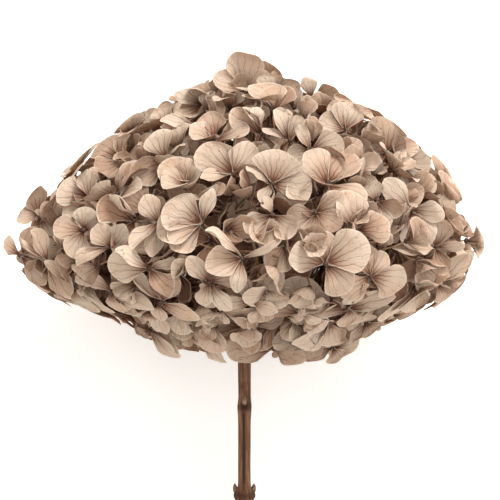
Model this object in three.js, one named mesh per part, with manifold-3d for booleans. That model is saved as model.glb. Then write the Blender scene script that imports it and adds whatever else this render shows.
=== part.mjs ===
// A cut and dried mophead hydrangea, lying on a surface on one side of its head and on its cut end.
// It is modelled standing: +Z runs up the stem, -Y is the side that faces up once it is laid down,
// and the origin is where the stem's axis meets the head's widest girth. The last lines lay it down.
// Millimetres and degrees throughout.

import * as THREE from "three";
import { mergeVertices } from "three/addons/utils/BufferGeometryUtils.js";
import Module from "manifold-3d";

const wasm = await Module();
wasm.setup();

// ---- Driving dimensions ----

// The dome on which the eyes of the florets sit; their sepals reach some 8 mm further out.
const girthRadius = 92;
const crownHeight = 70;
const underDepth = 33;
const crownPower = 1.42; // 1 is a cone, 2 an ellipsoid
const underPower = 2.2;
const lean = 0.06; // how much fuller the shoulder on the +X side is

const stemRadius = 2.7;
const stemBelowGirth = 217; // girth to the cut end
const stemSides = 12;
const cutSlant = 32; // the cut end, off square
const nodeLength = 9;
// Where pairs of leaves were: height, how far the node stands out, and the way that its leaves faced.
const leafNodes = [
  { height: -67, swell: 0.3, turn: -90 },
  { height: -105, swell: 1.5, turn: 180 },
  { height: -166, swell: 1.2, turn: -90 },
];
const budNodes = 2; // only the upper nodes keep their buds
const budLength = 4.5;
const budRadius = 1.1;
const budLean = 14; // degrees out from the stem

const rachisTop = 12;
const rachisRadius = 3;
// Opposite pairs of rays: where they leave the rachis, the way they point, and where they fork.
const rayLevels = [
  { height: -25, turn: 0, forkHeight: 5 },
  { height: -15, turn: 90, forkHeight: 8 },
  { height: -5, turn: 45, forkHeight: 12 },
  { height: 5, turn: 135, forkHeight: 18 },
];
const rayReach = 44; // how far from the axis a ray forks
const topForkHeight = 34; // of the ray that runs on to the crown
const rayRadius = 1.5;
const raySides = 7;
const branchRadius = 1.0; // beyond the fork
const branchSides = 5;

const hubDepth = 21; // how far a cluster's hub sits under its florets
const hubRadius = 1.7;
const hubRoom = 9; // no hub is nearer to the rachis or stem than this
const pedicelRadius = 0.6;
const pedicelSides = 3;

const sepalThickness = 0.8; // at the eye of a floret, thinning to its rim
const fillSpacing = 17.5; // least distance between the eyes of florets that fill the dome
const fillReach = [11, 15]; // sepal lengths of those florets
const fillCup = [5, 40]; // how far their sepals are raised
const fillTilt = 0.38; // how far they turn away from the dome's own direction
const stemRoom = 21; // no floret's eye is nearer to the stem than this
const hangingReach = 25; // florets that hang lower than the dome hang this far out from the stem
const clusterCount = 46;
const settleRounds = 6; // of the clusters' centres
const eyeClearance = 1.6; // from an eye to where its cluster meets the next

const restSink = 6; // how far the dome is pressed in where the head's weight rests on it
const restBand = 5.5; // florets with eyes lower than this lie flat on the surface

const jointGap = 0.3; // between pieces that grow out of one another

// The florets that give the upper side its character, seen from above once it is laid down:
// right and up from the girth's centre, the way that the floret faces (turned right, turned up),
// the direction of its first sepal counter-clockwise from the right, sepal length, and cup.
const shownFlorets = [
  // crown
  [0, 68, 0, 45, 90, 15, 40],
  [-11, 65, -15, 50, 100, 14, 35],
  [-18, 62, -20, 20, 150, 14, 30],
  [12.5, 65, 10, 35, 80, 11, 30],
  [29, 65, 10, 20, 70, 12.5, 20],
  [42, 50, 15, 15, 85, 14.5, 8],
  [58, 56, 20, 50, 120, 12, 30],
  [-27, 66, -10, 60, 120, 13, 30],
  // upper left shoulder
  [-34, 54.5, -10, 25, 10, 10.5, 15],
  [-20, 51, 0, 40, 200, 13, 35],
  [-32, 37.5, -5, 5, 130, 15, 35],
  [-51.5, 38.5, -25, 25, 60, 14, 30],
  [-50, 51.5, -30, 45, 20, 14, 30],
  [-71, 34.5, -35, 40, 90, 13, 25],
  [-64.5, 22, -15, 30, 170, 17, 10],
  [-88, 15, -50, 20, 120, 14, 30],
  // middle
  [-4.5, 31, 10, 5, 160, 15, 30],
  [11.5, 27, 10, -5, 55, 18.5, 30],
  [7.5, 47.5, 35, 10, 140, 16, 45],
  [18.5, 45, 35, 15, 35, 12, 45],
  [27.5, 41, 10, 10, 20, 13.5, 20],
  [46, 33.5, 30, 35, 200, 12, 25],
  [29, 15, 0, 10, 30, 11.5, 30],
  [11.5, 14, -5, 0, 250, 13, 25],
  [-17, 11, -10, 0, 130, 17, 25],
  [-34.5, 11, 10, 0, 210, 12, 45],
  [-44.5, 12, -30, 0, 150, 18, 40],
  [-66, 8, -20, 5, 75, 12.5, 20],
  [-54, 1, -15, 20, 60, 11.5, 45],
  // right shoulder
  [60, 41, 0, 20, 75, 15, 40],
  [66, 36.5, 20, 0, 0, 13, 20],
  [68, 43, 55, 35, 45, 12, 30],
  [80, 30, 60, 20, 60, 13, 30],
  [69, 16.5, 15, 15, 135, 15, 12],
  [54.5, 20, -10, 40, 290, 12.5, 35],
  [87, 16, 45, 25, 100, 12, 20],
  [79.5, 1, 20, 40, 90, 12, 40],
  [94.5, 4, 80, -5, 0, 12, 40],
  // lower middle
  [33, -5.5, 0, -5, 45, 20.5, 20],
  [23, -26, 0, 10, 90, 17.5, 30],
  [-1, -3.5, 0, 10, 225, 15, 45],
  [-14, -13, -5, 0, 60, 15, 35],
  [3, -20.5, 0, 20, 50, 14, 40],
  [1.5, -31.5, 0, -5, 110, 13, 30],
  [12.5, -41, 0, -30, 180, 19.5, 2],
  [27, -35, 5, 0, 200, 14, 20],
  [51.5, -11, 10, 0, 0, 15.5, 15],
  [43, -24, 10, 30, 20, 18, 20],
  [52, -31, 10, -20, 265, 14, 15],
  [67.5, -29, 40, -10, 75, 13, 30],
  [81, -14, 30, 0, 45, 14, 30],
  [37, -41, 10, -50, 300, 13.5, 15],
  // lower left
  [-38.5, -7.5, -10, -5, 170, 16.5, 15],
  [-34.5, -21.5, 0, 0, 100, 15, 45],
  [-54, -17, -20, -20, 330, 14.5, 40],
  [-71, -15, -30, -30, 150, 15.5, 25],
  [-82, -5, -30, -10, 150, 14.5, 35],
  [-94, -2, -70, -20, 200, 14, 30],
  [-20, -36.5, -5, -25, 190, 14, 20],
  [-43, -36, -15, -50, 170, 14, 20],
];

// ---- Colours ----

const sepalFinish = new THREE.MeshStandardMaterial({ color: 0xc3a78a, roughness: 0.85, metalness: 0 });
const rayFinish = new THREE.MeshStandardMaterial({ color: 0x8a6a4e, roughness: 0.8, metalness: 0 });
const stemFinish = new THREE.MeshStandardMaterial({ color: 0x6b4e3b, roughness: 0.75, metalness: 0 });
const budFinish = new THREE.MeshStandardMaterial({ color: 0x3c241a, roughness: 0.7, metalness: 0 });

// ---- Small helpers ----

const vec = (x, y, z) => new THREE.Vector3(x, y, z);
const rad = THREE.MathUtils.degToRad;
const mix = ([low, high], share) => low + (high - low) * share;

// A fixed number from 0 to 1 for each pair, so that every build gives the same flower.
function chance(item, question) {
  const s = Math.sin(item * 127.1 + question * 311.7) * 43758.5453;
  return s - Math.floor(s);
}

function solidOf(geometry) {
  const bare = geometry.index ? geometry.toNonIndexed() : geometry.clone();
  for (const name of Object.keys(bare.attributes)) {
    if (name !== "position") bare.deleteAttribute(name);
  }
  const merged = mergeVertices(bare, 1e-4);
  return new wasm.Manifold(new wasm.Mesh({
    numProp: 3,
    vertProperties: merged.attributes.position.array,
    triVerts: new Uint32Array(merged.index.array),
  }));
}

function geometryOf(solid) {
  const mesh = solid.getMesh();
  const geometry = new THREE.BufferGeometry();
  geometry.setAttribute("position", new THREE.BufferAttribute(new Float32Array(mesh.vertProperties), 3));
  geometry.setIndex(new THREE.BufferAttribute(new Uint32Array(mesh.triVerts), 1));
  return geometry;
}

const joined = (solids) => solids.reduce((whole, piece) => whole.add(piece));

// A tapered round rod between two points.
function rod(from, to, fromRadius, toRadius, sides) {
  const way = to.clone().sub(from);
  const geometry = new THREE.CylinderGeometry(toRadius, fromRadius, way.length(), sides);
  const turn = new THREE.Quaternion().setFromUnitVectors(vec(0, 1, 0), way.clone().normalize());
  geometry.applyQuaternion(turn);
  geometry.translate(...from.clone().add(to).multiplyScalar(0.5).toArray());
  return solidOf(geometry);
}

function ball(at, radius) {
  return solidOf(new THREE.IcosahedronGeometry(radius, 0).translate(at.x, at.y, at.z));
}

// ---- The surface that the flower lies on, in the standing frame ----

const restHeight = girthRadius - restSink; // of the head's centre
const cutReach = Math.hypot(stemRadius, stemBelowGirth);
const slope = Math.asin(restHeight / cutReach) - Math.atan2(stemRadius, stemBelowGirth);
const surfaceUp = vec(0, -Math.cos(slope), Math.sin(slope));
const heightOver = (p) => p.dot(surfaceUp) + restHeight;

// ---- The dome ----

function domeRadius(way) {
  const side = Math.hypot(way.x, way.y) / girthRadius;
  const [depth, power] = way.z > 0 ? [crownHeight, crownPower] : [underDepth, underPower];
  const plain = (side ** power + (Math.abs(way.z) / depth) ** power) ** (-1 / power);
  return plain * (1 + 2 * lean * way.x * Math.abs(way.z));
}

function domeNormal(p) {
  const side = Math.hypot(p.x, p.y);
  const [depth, power] = p.z > 0 ? [crownHeight, crownPower] : [underDepth, underPower];
  const out = (side / girthRadius) ** (power - 1) / girthRadius / Math.max(side, 1e-6);
  const up = (Math.abs(p.z) / depth) ** (power - 1) / depth;
  return vec(p.x * out, p.y * out, Math.sign(p.z) * up).normalize();
}

// The point of the dome, on its -Y side, that is seen at this place to the right and up.
function onUpperSide(right, up) {
  const beyond = (y) => {
    const p = vec(right, y, up);
    return p.length() - domeRadius(p.clone().normalize());
  };
  let [near, far] = [0, -2 * girthRadius];
  if (beyond(near) > 0) return vec(right, up < 0 ? -hangingReach : 0, up);
  for (let step = 0; step < 40; step++) {
    const middle = (near + far) / 2;
    if (beyond(middle) > 0) far = middle;
    else near = middle;
  }
  return vec(right, near, up);
}

// ---- Florets: { eye, facing, spin, reach, cup, flat } ----

function shownFloret([right, up, turnRight, turnUp, spin, reach, cup]) {
  const [yaw, pitch] = [rad(turnRight), rad(turnUp)];
  const facing = vec(Math.sin(yaw) * Math.cos(pitch), -Math.cos(yaw) * Math.cos(pitch), Math.sin(pitch));
  return { eye: onUpperSide(right, up), facing, spin, reach, cup };
}

function fillFloret(eye, number) {
  const wobble = vec(chance(number, 1) - 0.5, chance(number, 2) - 0.5, chance(number, 3) - 0.5);
  const facing = domeNormal(eye).addScaledVector(wobble, 2 * fillTilt).normalize();
  return {
    eye, facing, spin: 360 * chance(number, 4),
    reach: mix(fillReach, chance(number, 5)), cup: mix(fillCup, chance(number, 6)),
  };
}

// Even spots all over the dome, taken in a scattered order; a spot is used where no floret is near.
function allFlorets() {
  const florets = shownFlorets.map(shownFloret);
  const [spots, stride] = [1601, 617];
  const goldenAngle = Math.PI * (3 - Math.sqrt(5));
  for (let n = 0; n < spots; n++) {
    const spot = (n * stride) % spots;
    const height = 1 - (2 * (spot + 0.5)) / spots;
    const out = Math.sqrt(1 - height * height);
    const way = vec(out * Math.cos(spot * goldenAngle), out * Math.sin(spot * goldenAngle), height);
    const eye = way.clone().multiplyScalar(domeRadius(way));
    if (eye.z < 0 && Math.hypot(eye.x, eye.y) < stemRoom) continue;
    if (florets.every((other) => other.eye.distanceTo(eye) >= fillSpacing)) {
      florets.push(fillFloret(eye, spot));
    }
  }
  return florets.map(laidOnSurface);
}

// A floret under the head is pressed flat, with its face on the surface.
function laidOnSurface(floret) {
  const height = heightOver(floret.eye);
  if (height >= restBand) return floret;
  const eye = floret.eye.clone().addScaledVector(surfaceUp, sepalThickness / 2 - height);
  return { ...floret, eye, facing: surfaceUp.clone().negate(), cup: 0, flat: true };
}

// ---- One floret as a solid: four sepals round an eye, thickest there and thinning to the rim ----

// Along and across a sepal, as shares of its length; the first point is the notch before it.
const sepalOutline = [[0.16, -0.16], [0.88, -0.4], [0.88, 0.4]];

function floretSolid({ eye, facing, spin, reach, cup, flat }) {
  const right = vec(0, 0, 1).cross(facing).normalize();
  const up = facing.clone().cross(right);
  const front = eye.clone().addScaledVector(facing, sepalThickness / 2);
  const back = eye.clone().addScaledVector(facing, -sepalThickness / 2);
  const rim = [];
  for (let sepal = 0; sepal < 4; sepal++) {
    const turn = rad(spin + 90 * sepal);
    const out = right.clone().multiplyScalar(Math.cos(turn)).addScaledVector(up, Math.sin(turn));
    const across = right.clone().multiplyScalar(-Math.sin(turn)).addScaledVector(up, Math.cos(turn));
    const along = out.multiplyScalar(Math.cos(rad(cup))).addScaledVector(facing, Math.sin(rad(cup)));
    for (const [far, wide] of sepalOutline) {
      const p = eye.clone().addScaledVector(along, far * reach).addScaledVector(across, wide * reach);
      const height = heightOver(p);
      if (flat || height < 0) p.addScaledVector(surfaceUp, -height);
      rim.push(p);
    }
  }
  const corners = [];
  rim.forEach((p, n) => {
    const next = rim[(n + 1) % rim.length];
    corners.push(front, p, next, back, next, p);
  });
  const geometry = new THREE.BufferGeometry().setFromPoints(corners);
  return solidOf(geometry);
}

// ---- Clusters: neighbouring florets that share one hub ----

function nearest(point, places) {
  let best = 0;
  places.forEach((place, n) => {
    if (place.distanceTo(point) < places[best].distanceTo(point)) best = n;
  });
  return best;
}

// Centres start as far apart as they can and settle in the middle of their own florets.
function clusterCentres(florets) {
  const centres = [florets[0].eye.clone()];
  while (centres.length < clusterCount) {
    const room = florets.map((f) => Math.min(...centres.map((c) => c.distanceTo(f.eye))));
    centres.push(florets[room.indexOf(Math.max(...room))].eye.clone());
  }
  for (let round = 0; round < settleRounds; round++) {
    const groups = centres.map(() => []);
    for (const f of florets) groups[nearest(f.eye, centres)].push(f.eye);
    groups.forEach((eyes, n) => {
      centres[n] = eyes.reduce((sum, e) => sum.add(e), vec(0, 0, 0)).divideScalar(eyes.length);
    });
  }
  return centres;
}

// The same point, moved clear of the walls between its own cluster and the others.
function clearOfWalls(point, own, centres, clearance) {
  const moved = point.clone();
  for (const other of centres) {
    if (other === own) continue;
    const away = own.clone().sub(other).normalize();
    const room = moved.dot(away) - own.clone().add(other).multiplyScalar(0.5).dot(away);
    if (room < clearance) moved.addScaledVector(away, clearance - room);
  }
  return moved;
}

function clusterHub(own, centres) {
  const hub = clearOfWalls(own.clone().addScaledVector(domeNormal(own), -hubDepth), own, centres,
    hubRadius + jointGap);
  const fromAxis = Math.hypot(hub.x, hub.y);
  if (hub.z < rachisTop + hubRoom && fromAxis < hubRoom) {
    hub.x *= hubRoom / fromAxis;
    hub.y *= hubRoom / fromAxis;
  }
  return hub;
}

// The florets with the number of their cluster, their eyes clear of its walls.
function sharedOut(florets, centres) {
  return florets.map((floret) => {
    const cluster = nearest(floret.eye, centres);
    return { ...floret, cluster, eye: clearOfWalls(floret.eye, centres[cluster], centres, eyeClearance) };
  });
}

// Cuts a cluster halfway to each of its neighbours, less half the gap between pieces.
function keptToItself(solid, own, centres) {
  let kept = solid;
  for (const other of centres) {
    if (other === own) continue;
    const away = own.clone().sub(other).normalize();
    const middle = own.clone().add(other).multiplyScalar(0.5);
    kept = kept.trimByPlane(away.toArray(), middle.dot(away) + jointGap / 2);
  }
  return kept;
}

function clusterSolid(florets, own, centres) {
  const hub = clusterHub(own, centres);
  const pieces = [ball(hub, hubRadius)];
  for (const floret of florets) {
    pieces.push(rod(hub, floret.eye, pedicelRadius, pedicelRadius, pedicelSides));
    pieces.push(floretSolid(floret));
  }
  return keptToItself(joined(pieces), own, centres);
}

// ---- Rays: the branches from the stem to the hubs of the clusters ----

function raySolid(start, fork, hubs) {
  const pieces = [rod(start, fork, rayRadius, branchRadius * 1.2, raySides)];
  pieces.push(ball(fork, branchRadius * 1.5));
  for (const hub of hubs) {
    const way = hub.clone().sub(fork).normalize();
    const end = hub.clone().addScaledVector(way, -(hubRadius + jointGap));
    pieces.push(rod(fork, end, branchRadius, branchRadius * 0.8, branchSides));
  }
  return joined(pieces);
}

// ---- Stem: from the slanting cut through its leaf nodes to the rachis inside the head ----

function stemSolid() {
  const profile = [[0, -stemBelowGirth - 4], [stemRadius, -stemBelowGirth - 4]];
  for (const { height, swell } of [...leafNodes].reverse()) {
    profile.push([stemRadius, height - nodeLength / 2]);
    profile.push([stemRadius + swell, height - nodeLength / 8]);
    profile.push([stemRadius + swell * 0.8, height + nodeLength / 6]);
    profile.push([stemRadius, height + nodeLength / 2]);
  }
  profile.push([stemRadius, -underDepth], [rachisRadius, rayLevels[0].height]);
  profile.push([rachisRadius, rachisTop - 2], [rachisRadius * 0.6, rachisTop], [0, rachisTop]);
  const points = profile.map(([r, z]) => new THREE.Vector2(r, z));
  const solid = solidOf(new THREE.LatheGeometry(points, stemSides).rotateX(Math.PI / 2));
  const tilt = rad(cutSlant);
  const lowest = vec(0, stemRadius, -stemBelowGirth); // the cut's long side lies on the surface
  const inward = vec(0, Math.sin(tilt), Math.cos(tilt));
  return solid.trimByPlane(inward.toArray(), lowest.dot(inward));
}

function budGeometry() {
  const profile = [[0, 0], [budRadius * 0.8, budLength * 0.15], [budRadius, budLength * 0.4],
    [budRadius * 0.6, budLength * 0.75], [0, budLength]];
  return new THREE.LatheGeometry(profile.map(([r, y]) => new THREE.Vector2(r, y)), 8);
}

// ---- The scene graph ----

function named(name, geometry, material, at = vec(0, 0, 0)) {
  geometry.translate(-at.x, -at.y, -at.z);
  const mesh = new THREE.Mesh(geometry, material);
  mesh.name = name;
  mesh.position.copy(at);
  return mesh;
}

const flower = new THREE.Group();
flower.add(named("stem", geometryOf(stemSolid()), stemFinish));

// A pair of opposite buds, leaning a little out from the stem, above each of the upper nodes.
leafNodes.slice(0, budNodes).forEach(({ height, swell, turn }, level) => {
  for (const side of [0, 1]) {
    const way = rad(turn + 180 * side);
    const clear = stemRadius + swell + jointGap + budRadius;
    const bud = named(`bud_${2 * level + side + 1}`, budGeometry(), budFinish);
    bud.position.set(Math.cos(way) * clear, Math.sin(way) * clear, height + nodeLength / 6);
    bud.quaternion.setFromUnitVectors(vec(0, 1, 0),
      vec(Math.cos(way), Math.sin(way), 0).setLength(Math.sin(rad(budLean))).setZ(Math.cos(rad(budLean))));
    flower.add(bud);
  }
});

const everyFloret = allFlorets();
const centres = clusterCentres(everyFloret);
const florets = sharedOut(everyFloret, centres);
centres.forEach((own, n) => {
  const members = florets.filter(({ cluster }) => cluster === n);
  const solid = clusterSolid(members, own, centres);
  const name = `floret_cluster_${String(n + 1).padStart(2, "0")}`;
  flower.add(named(name, geometryOf(solid), sepalFinish, clusterHub(own, centres)));
});

// Rays leave in opposite pairs, each pair turned from the last, and one ray runs on to the crown.
const rays = [];
rayLevels.forEach(({ height, turn, forkHeight }, level) => {
  for (const side of [0, 1]) {
    const way = rad(turn + 180 * side);
    const out = vec(Math.cos(way), Math.sin(way), 0);
    const fork = out.clone().multiplyScalar(rayReach).setZ(forkHeight);
    const start = out.clone().multiplyScalar(rachisRadius + jointGap + rayRadius * 0.5).setZ(height);
    rays.push({ name: `ray_${2 * level + side + 1}`, start, fork });
  }
});
rays.push({ name: "ray_top", start: vec(0, 0, rachisTop + jointGap), fork: vec(0, 0, topForkHeight) });
const rayOf = (hub) => rays[nearest(hub, rays.map(({ fork }) => fork))];
for (const ray of rays) {
  const hubs = centres.map((own) => clusterHub(own, centres)).filter((hub) => rayOf(hub) === ray);
  flower.add(named(ray.name, geometryOf(raySolid(ray.start, ray.fork, hubs)), rayFinish, ray.start));
}

// Lay it down: the axis tips over to the slope at which the head's side and the cut end both rest.
flower.rotation.x = -(Math.PI / 2 - slope);
const laid = new THREE.Group();
laid.add(flower);
laid.updateMatrixWorld(true);
const bounds = new THREE.Box3();
flower.traverse((o) => {
  if (o.isMesh) bounds.expandByObject(o, true);
});
flower.position.set(-(bounds.min.x + bounds.max.x) / 2, -(bounds.min.y + bounds.max.y) / 2, -bounds.min.z);

export default laid;
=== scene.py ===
import math

import bmesh
import bpy
from mathutils import Matrix, Vector, noise


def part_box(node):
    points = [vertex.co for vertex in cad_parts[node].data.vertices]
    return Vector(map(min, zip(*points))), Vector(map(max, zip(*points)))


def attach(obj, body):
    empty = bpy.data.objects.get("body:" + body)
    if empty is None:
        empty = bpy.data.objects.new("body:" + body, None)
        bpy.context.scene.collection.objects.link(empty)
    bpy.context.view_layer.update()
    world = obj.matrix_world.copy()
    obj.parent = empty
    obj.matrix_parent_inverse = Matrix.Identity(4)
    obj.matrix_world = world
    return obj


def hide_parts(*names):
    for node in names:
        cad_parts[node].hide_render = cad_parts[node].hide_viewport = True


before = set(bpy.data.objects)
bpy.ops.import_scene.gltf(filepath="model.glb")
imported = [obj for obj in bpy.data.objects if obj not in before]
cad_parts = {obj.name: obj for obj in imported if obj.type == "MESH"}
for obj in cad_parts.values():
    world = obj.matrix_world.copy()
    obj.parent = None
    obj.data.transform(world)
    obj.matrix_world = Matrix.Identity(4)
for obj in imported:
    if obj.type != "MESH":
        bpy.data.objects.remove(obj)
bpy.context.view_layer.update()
print("frame loaded:", len(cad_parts), "nodes")

# The flower is shaped standing up, in millimetres: +Z runs up the stem, -Y is the side that faces up
# once it lies down, and the origin is where the stem's axis meets the head's widest girth.
head = {
    "girthRadius": 92,
    "crownHeight": 70,
    "underDepth": 33,
    "crownPower": 1.42,  # 1 is a cone, 2 an ellipsoid
    "underPower": 2.2,
    "lean": 0.06,  # how much fuller the right shoulder is
    "fillSpacing": 17.5,  # least distance between the florets' eyes
    "fillReach": (11, 15),  # sepal lengths
    "fillCup": (5, 40),  # how far sepals are raised, in degrees
    "fillTilt": 0.38,
    "stemRoom": 21,  # no eye is nearer to the stem than this
    "hangingReach": 25,  # how far out from the stem the lowest florets hang
    "clusters": 46,
    "settleRounds": 6,
    "eyeClearance": 1.6,
    "hubDepth": 21,
    "hubRadius": 1.7,
    "hubRoom": 9,
    "jointGap": 0.3,
    "restSink": 6,  # how far the side of the head is pressed in by its own weight
    "restBand": 5.5,  # florets lower than this lie flat
    "restEye": 0.4,  # height of their eyes over the surface
}
stem = {
    "radius": 2.7,
    "belowGirth": 217,
    "cutSlant": 32,
    "rachisTop": 12,
    "rachisRadius": 3,
    "thickens": (-60, -25),  # heights between which it goes from the stem's radius to the rachis's
    "sides": 28,
    "rings": 190,
    # height, how far it stands out, and the way its leaves faced
    "leafNodes": [(-67, 0.3, -90), (-105, 1.5, 180), (-166, 1.2, -90)],
    "nodeLength": 9,
    "nodeSwell": 0.25,
    "ridges": 9,
    "ridgeDepth": 0.06,
    "gnarl": 0.16,
    "scarSize": 1.5,
    "scarRelief": 0.22,
    "furrowDepth": 0.28,
    "barkThickness": 0.35,
    "woodWidth": 0.9,  # of the ring of wood round the pith, on the cut end
    "pithDepth": 0.25,
}

restHeight = head["girthRadius"] - head["restSink"]
cutReach = math.hypot(stem["radius"], stem["belowGirth"])
slope = math.asin(restHeight / cutReach) - math.atan2(stem["radius"], stem["belowGirth"])
surfaceUp = Vector((0, -math.cos(slope), math.sin(slope)))
stemLow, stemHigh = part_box("stem")
girthCentre = Vector((
    (stemLow.x + stemHigh.x) / 2,
    stemLow.y + (stem["belowGirth"] * math.cos(slope) - stem["radius"] * math.sin(slope)) / 1000,
    restHeight / 1000,
))
layDown = (
    Matrix.Translation(girthCentre)
    @ Matrix.Rotation(slope - math.pi / 2, 4, "X")
    @ Matrix.Scale(0.001, 4)
)


# Height over the surface that the flower lies on.
def heightOver(p):
    return p.dot(surfaceUp) + restHeight


# A value from 0 to 1 that is always the same for one item and one question.
def chance(item, question):
    s = math.sin(item * 127.1 + question * 311.7) * 43758.5453
    return s - math.floor(s)


def pick(limits, item, question):
    return limits[0] + (limits[1] - limits[0]) * chance(item, question)


# Where the florets sit, as in the CAD part.
# For each floret: how far right and up it is from the girth's centre, as seen from above the flower, the
# way it faces (turned right, turned up), the direction of its first sepal, its sepal length, and its cup.
shownFlorets = [
    (0, 68, 0, 45, 90, 15, 40), (-11, 65, -15, 50, 100, 14, 35), (-18, 62, -20, 20, 150, 14, 30),
    (12.5, 65, 10, 35, 80, 11, 30), (29, 65, 10, 20, 70, 12.5, 20), (42, 50, 15, 15, 85, 14.5, 8),
    (58, 56, 20, 50, 120, 12, 30), (-27, 66, -10, 60, 120, 13, 30),
    (-34, 54.5, -10, 25, 10, 10.5, 15), (-20, 51, 0, 40, 200, 13, 35), (-32, 37.5, -5, 5, 130, 15, 35),
    (-51.5, 38.5, -25, 25, 60, 14, 30), (-50, 51.5, -30, 45, 20, 14, 30), (-71, 34.5, -35, 40, 90, 13, 25),
    (-64.5, 22, -15, 30, 170, 17, 10), (-88, 15, -50, 20, 120, 14, 30),
    (-4.5, 31, 10, 5, 160, 15, 30), (11.5, 27, 10, -5, 55, 18.5, 30), (7.5, 47.5, 35, 10, 140, 16, 45),
    (18.5, 45, 35, 15, 35, 12, 45), (27.5, 41, 10, 10, 20, 13.5, 20), (46, 33.5, 30, 35, 200, 12, 25),
    (29, 15, 0, 10, 30, 11.5, 30), (11.5, 14, -5, 0, 250, 13, 25), (-17, 11, -10, 0, 130, 17, 25),
    (-34.5, 11, 10, 0, 210, 12, 45), (-44.5, 12, -30, 0, 150, 18, 40), (-66, 8, -20, 5, 75, 12.5, 20),
    (-54, 1, -15, 20, 60, 11.5, 45),
    (60, 41, 0, 20, 75, 15, 40), (66, 36.5, 20, 0, 0, 13, 20), (68, 43, 55, 35, 45, 12, 30),
    (80, 30, 60, 20, 60, 13, 30), (69, 16.5, 15, 15, 135, 15, 12), (54.5, 20, -10, 40, 290, 12.5, 35),
    (87, 16, 45, 25, 100, 12, 20), (79.5, 1, 20, 40, 90, 12, 40), (94.5, 4, 80, -5, 0, 12, 40),
    (33, -5.5, 0, -5, 45, 20.5, 20), (23, -26, 0, 10, 90, 17.5, 30), (-1, -3.5, 0, 10, 225, 15, 45),
    (-14, -13, -5, 0, 60, 15, 35), (3, -20.5, 0, 20, 50, 14, 40), (1.5, -31.5, 0, -5, 110, 13, 30),
    (12.5, -41, 0, -30, 180, 19.5, 2), (27, -35, 5, 0, 200, 14, 20), (51.5, -11, 10, 0, 0, 15.5, 15),
    (43, -24, 10, 30, 20, 18, 20), (52, -31, 10, -20, 265, 14, 15), (67.5, -29, 40, -10, 75, 13, 30),
    (81, -14, 30, 0, 45, 14, 30), (37, -41, 10, -50, 300, 13.5, 15),
    (-38.5, -7.5, -10, -5, 170, 16.5, 15), (-34.5, -21.5, 0, 0, 100, 15, 45),
    (-54, -17, -20, -20, 330, 14.5, 40), (-71, -15, -30, -30, 150, 15.5, 25),
    (-82, -5, -30, -10, 150, 14.5, 35), (-94, -2, -70, -20, 200, 14, 30),
    (-20, -36.5, -5, -25, 190, 14, 20), (-43, -36, -15, -50, 170, 14, 20),
]


def domeRadius(way):
    side = math.hypot(way.x, way.y) / head["girthRadius"]
    depth, power = (
        (head["crownHeight"], head["crownPower"]) if way.z > 0
        else (head["underDepth"], head["underPower"])
    )
    plain = (side ** power + (abs(way.z) / depth) ** power) ** (-1 / power)
    return plain * (1 + 2 * head["lean"] * way.x * abs(way.z))


def domeNormal(p):
    side = math.hypot(p.x, p.y)
    depth, power = (
        (head["crownHeight"], head["crownPower"]) if p.z > 0
        else (head["underDepth"], head["underPower"])
    )
    out = (side / head["girthRadius"]) ** (power - 1) / head["girthRadius"] / max(side, 1e-6)
    up = (abs(p.z) / depth) ** (power - 1) / depth
    return Vector((p.x * out, p.y * out, math.copysign(up, p.z))).normalized()


# The spot on the dome's upper side at this place, found by halving.
def onUpperSide(right, up):
    near, far = 0.0, -2.0 * head["girthRadius"]

    def beyond(y):
        p = Vector((right, y, up))
        return p.length - domeRadius(p.normalized())

    if beyond(near) > 0:
        return Vector((right, -head["hangingReach"] if up < 0 else 0, up))
    for halving in range(40):
        middle = (near + far) / 2
        if beyond(middle) > 0:
            far = middle
        else:
            near = middle
    return Vector((right, near, up))


def laidOnSurface(floret):
    height = heightOver(floret["eye"])
    if height < head["restBand"]:
        floret["eye"] = floret["eye"] + surfaceUp * (head["restEye"] - height)
        floret["facing"] = -surfaceUp
        floret["cup"] = 0
    return floret


# Spots spread evenly over the dome along a golden spiral, in mixed order.
def domeSpots(spots, stride, scale):
    goldenAngle = math.pi * (3 - math.sqrt(5))
    for n in range(spots):
        spot = (n * stride) % spots
        height = 1 - (2 * (spot + 0.5)) / spots
        out = math.sqrt(1 - height * height)
        turn = spot * goldenAngle
        way = Vector((out * math.cos(turn), out * math.sin(turn), height))
        yield spot, way * (domeRadius(way) * scale)


def outerFlorets():
    florets = []
    for right, up, turnRight, turnUp, spin, reach, cup in shownFlorets:
        yaw, pitch = math.radians(turnRight), math.radians(turnUp)
        facing = Vector((
            math.sin(yaw) * math.cos(pitch), -math.cos(yaw) * math.cos(pitch), math.sin(pitch),
        ))
        florets.append({
            "eye": onUpperSide(right, up), "facing": facing, "spin": spin, "reach": reach, "cup": cup,
            "shown": True,
        })
    for spot, eye in domeSpots(1601, 617, 1):
        if eye.z < 0 and math.hypot(eye.x, eye.y) < head["stemRoom"]:
            continue
        if all((other["eye"] - eye).length >= head["fillSpacing"] for other in florets):
            wobble = Vector([chance(spot, question) - 0.5 for question in (1, 2, 3)])
            florets.append({
                "eye": eye,
                "facing": (domeNormal(eye) + wobble * (2 * head["fillTilt"])).normalized(),
                "spin": 360 * chance(spot, 4),
                "reach": pick(head["fillReach"], spot, 5),
                "cup": pick(head["fillCup"], spot, 6),
                "shown": False,
            })
    return [laidOnSurface(floret) for floret in florets]


def nearest(point, places):
    return min(range(len(places)), key=lambda n: (places[n] - point).length)


def clusterCentres(eyes):
    centres = [eyes[0].copy()]
    while len(centres) < head["clusters"]:
        room = [min((c - eye).length for c in centres) for eye in eyes]
        centres.append(eyes[room.index(max(room))].copy())
    for settle in range(head["settleRounds"]):
        groups = [[] for c in centres]
        for eye in eyes:
            groups[nearest(eye, centres)].append(eye)
        centres = [sum(group, Vector()) / len(group) for group in groups]
    return centres


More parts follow.
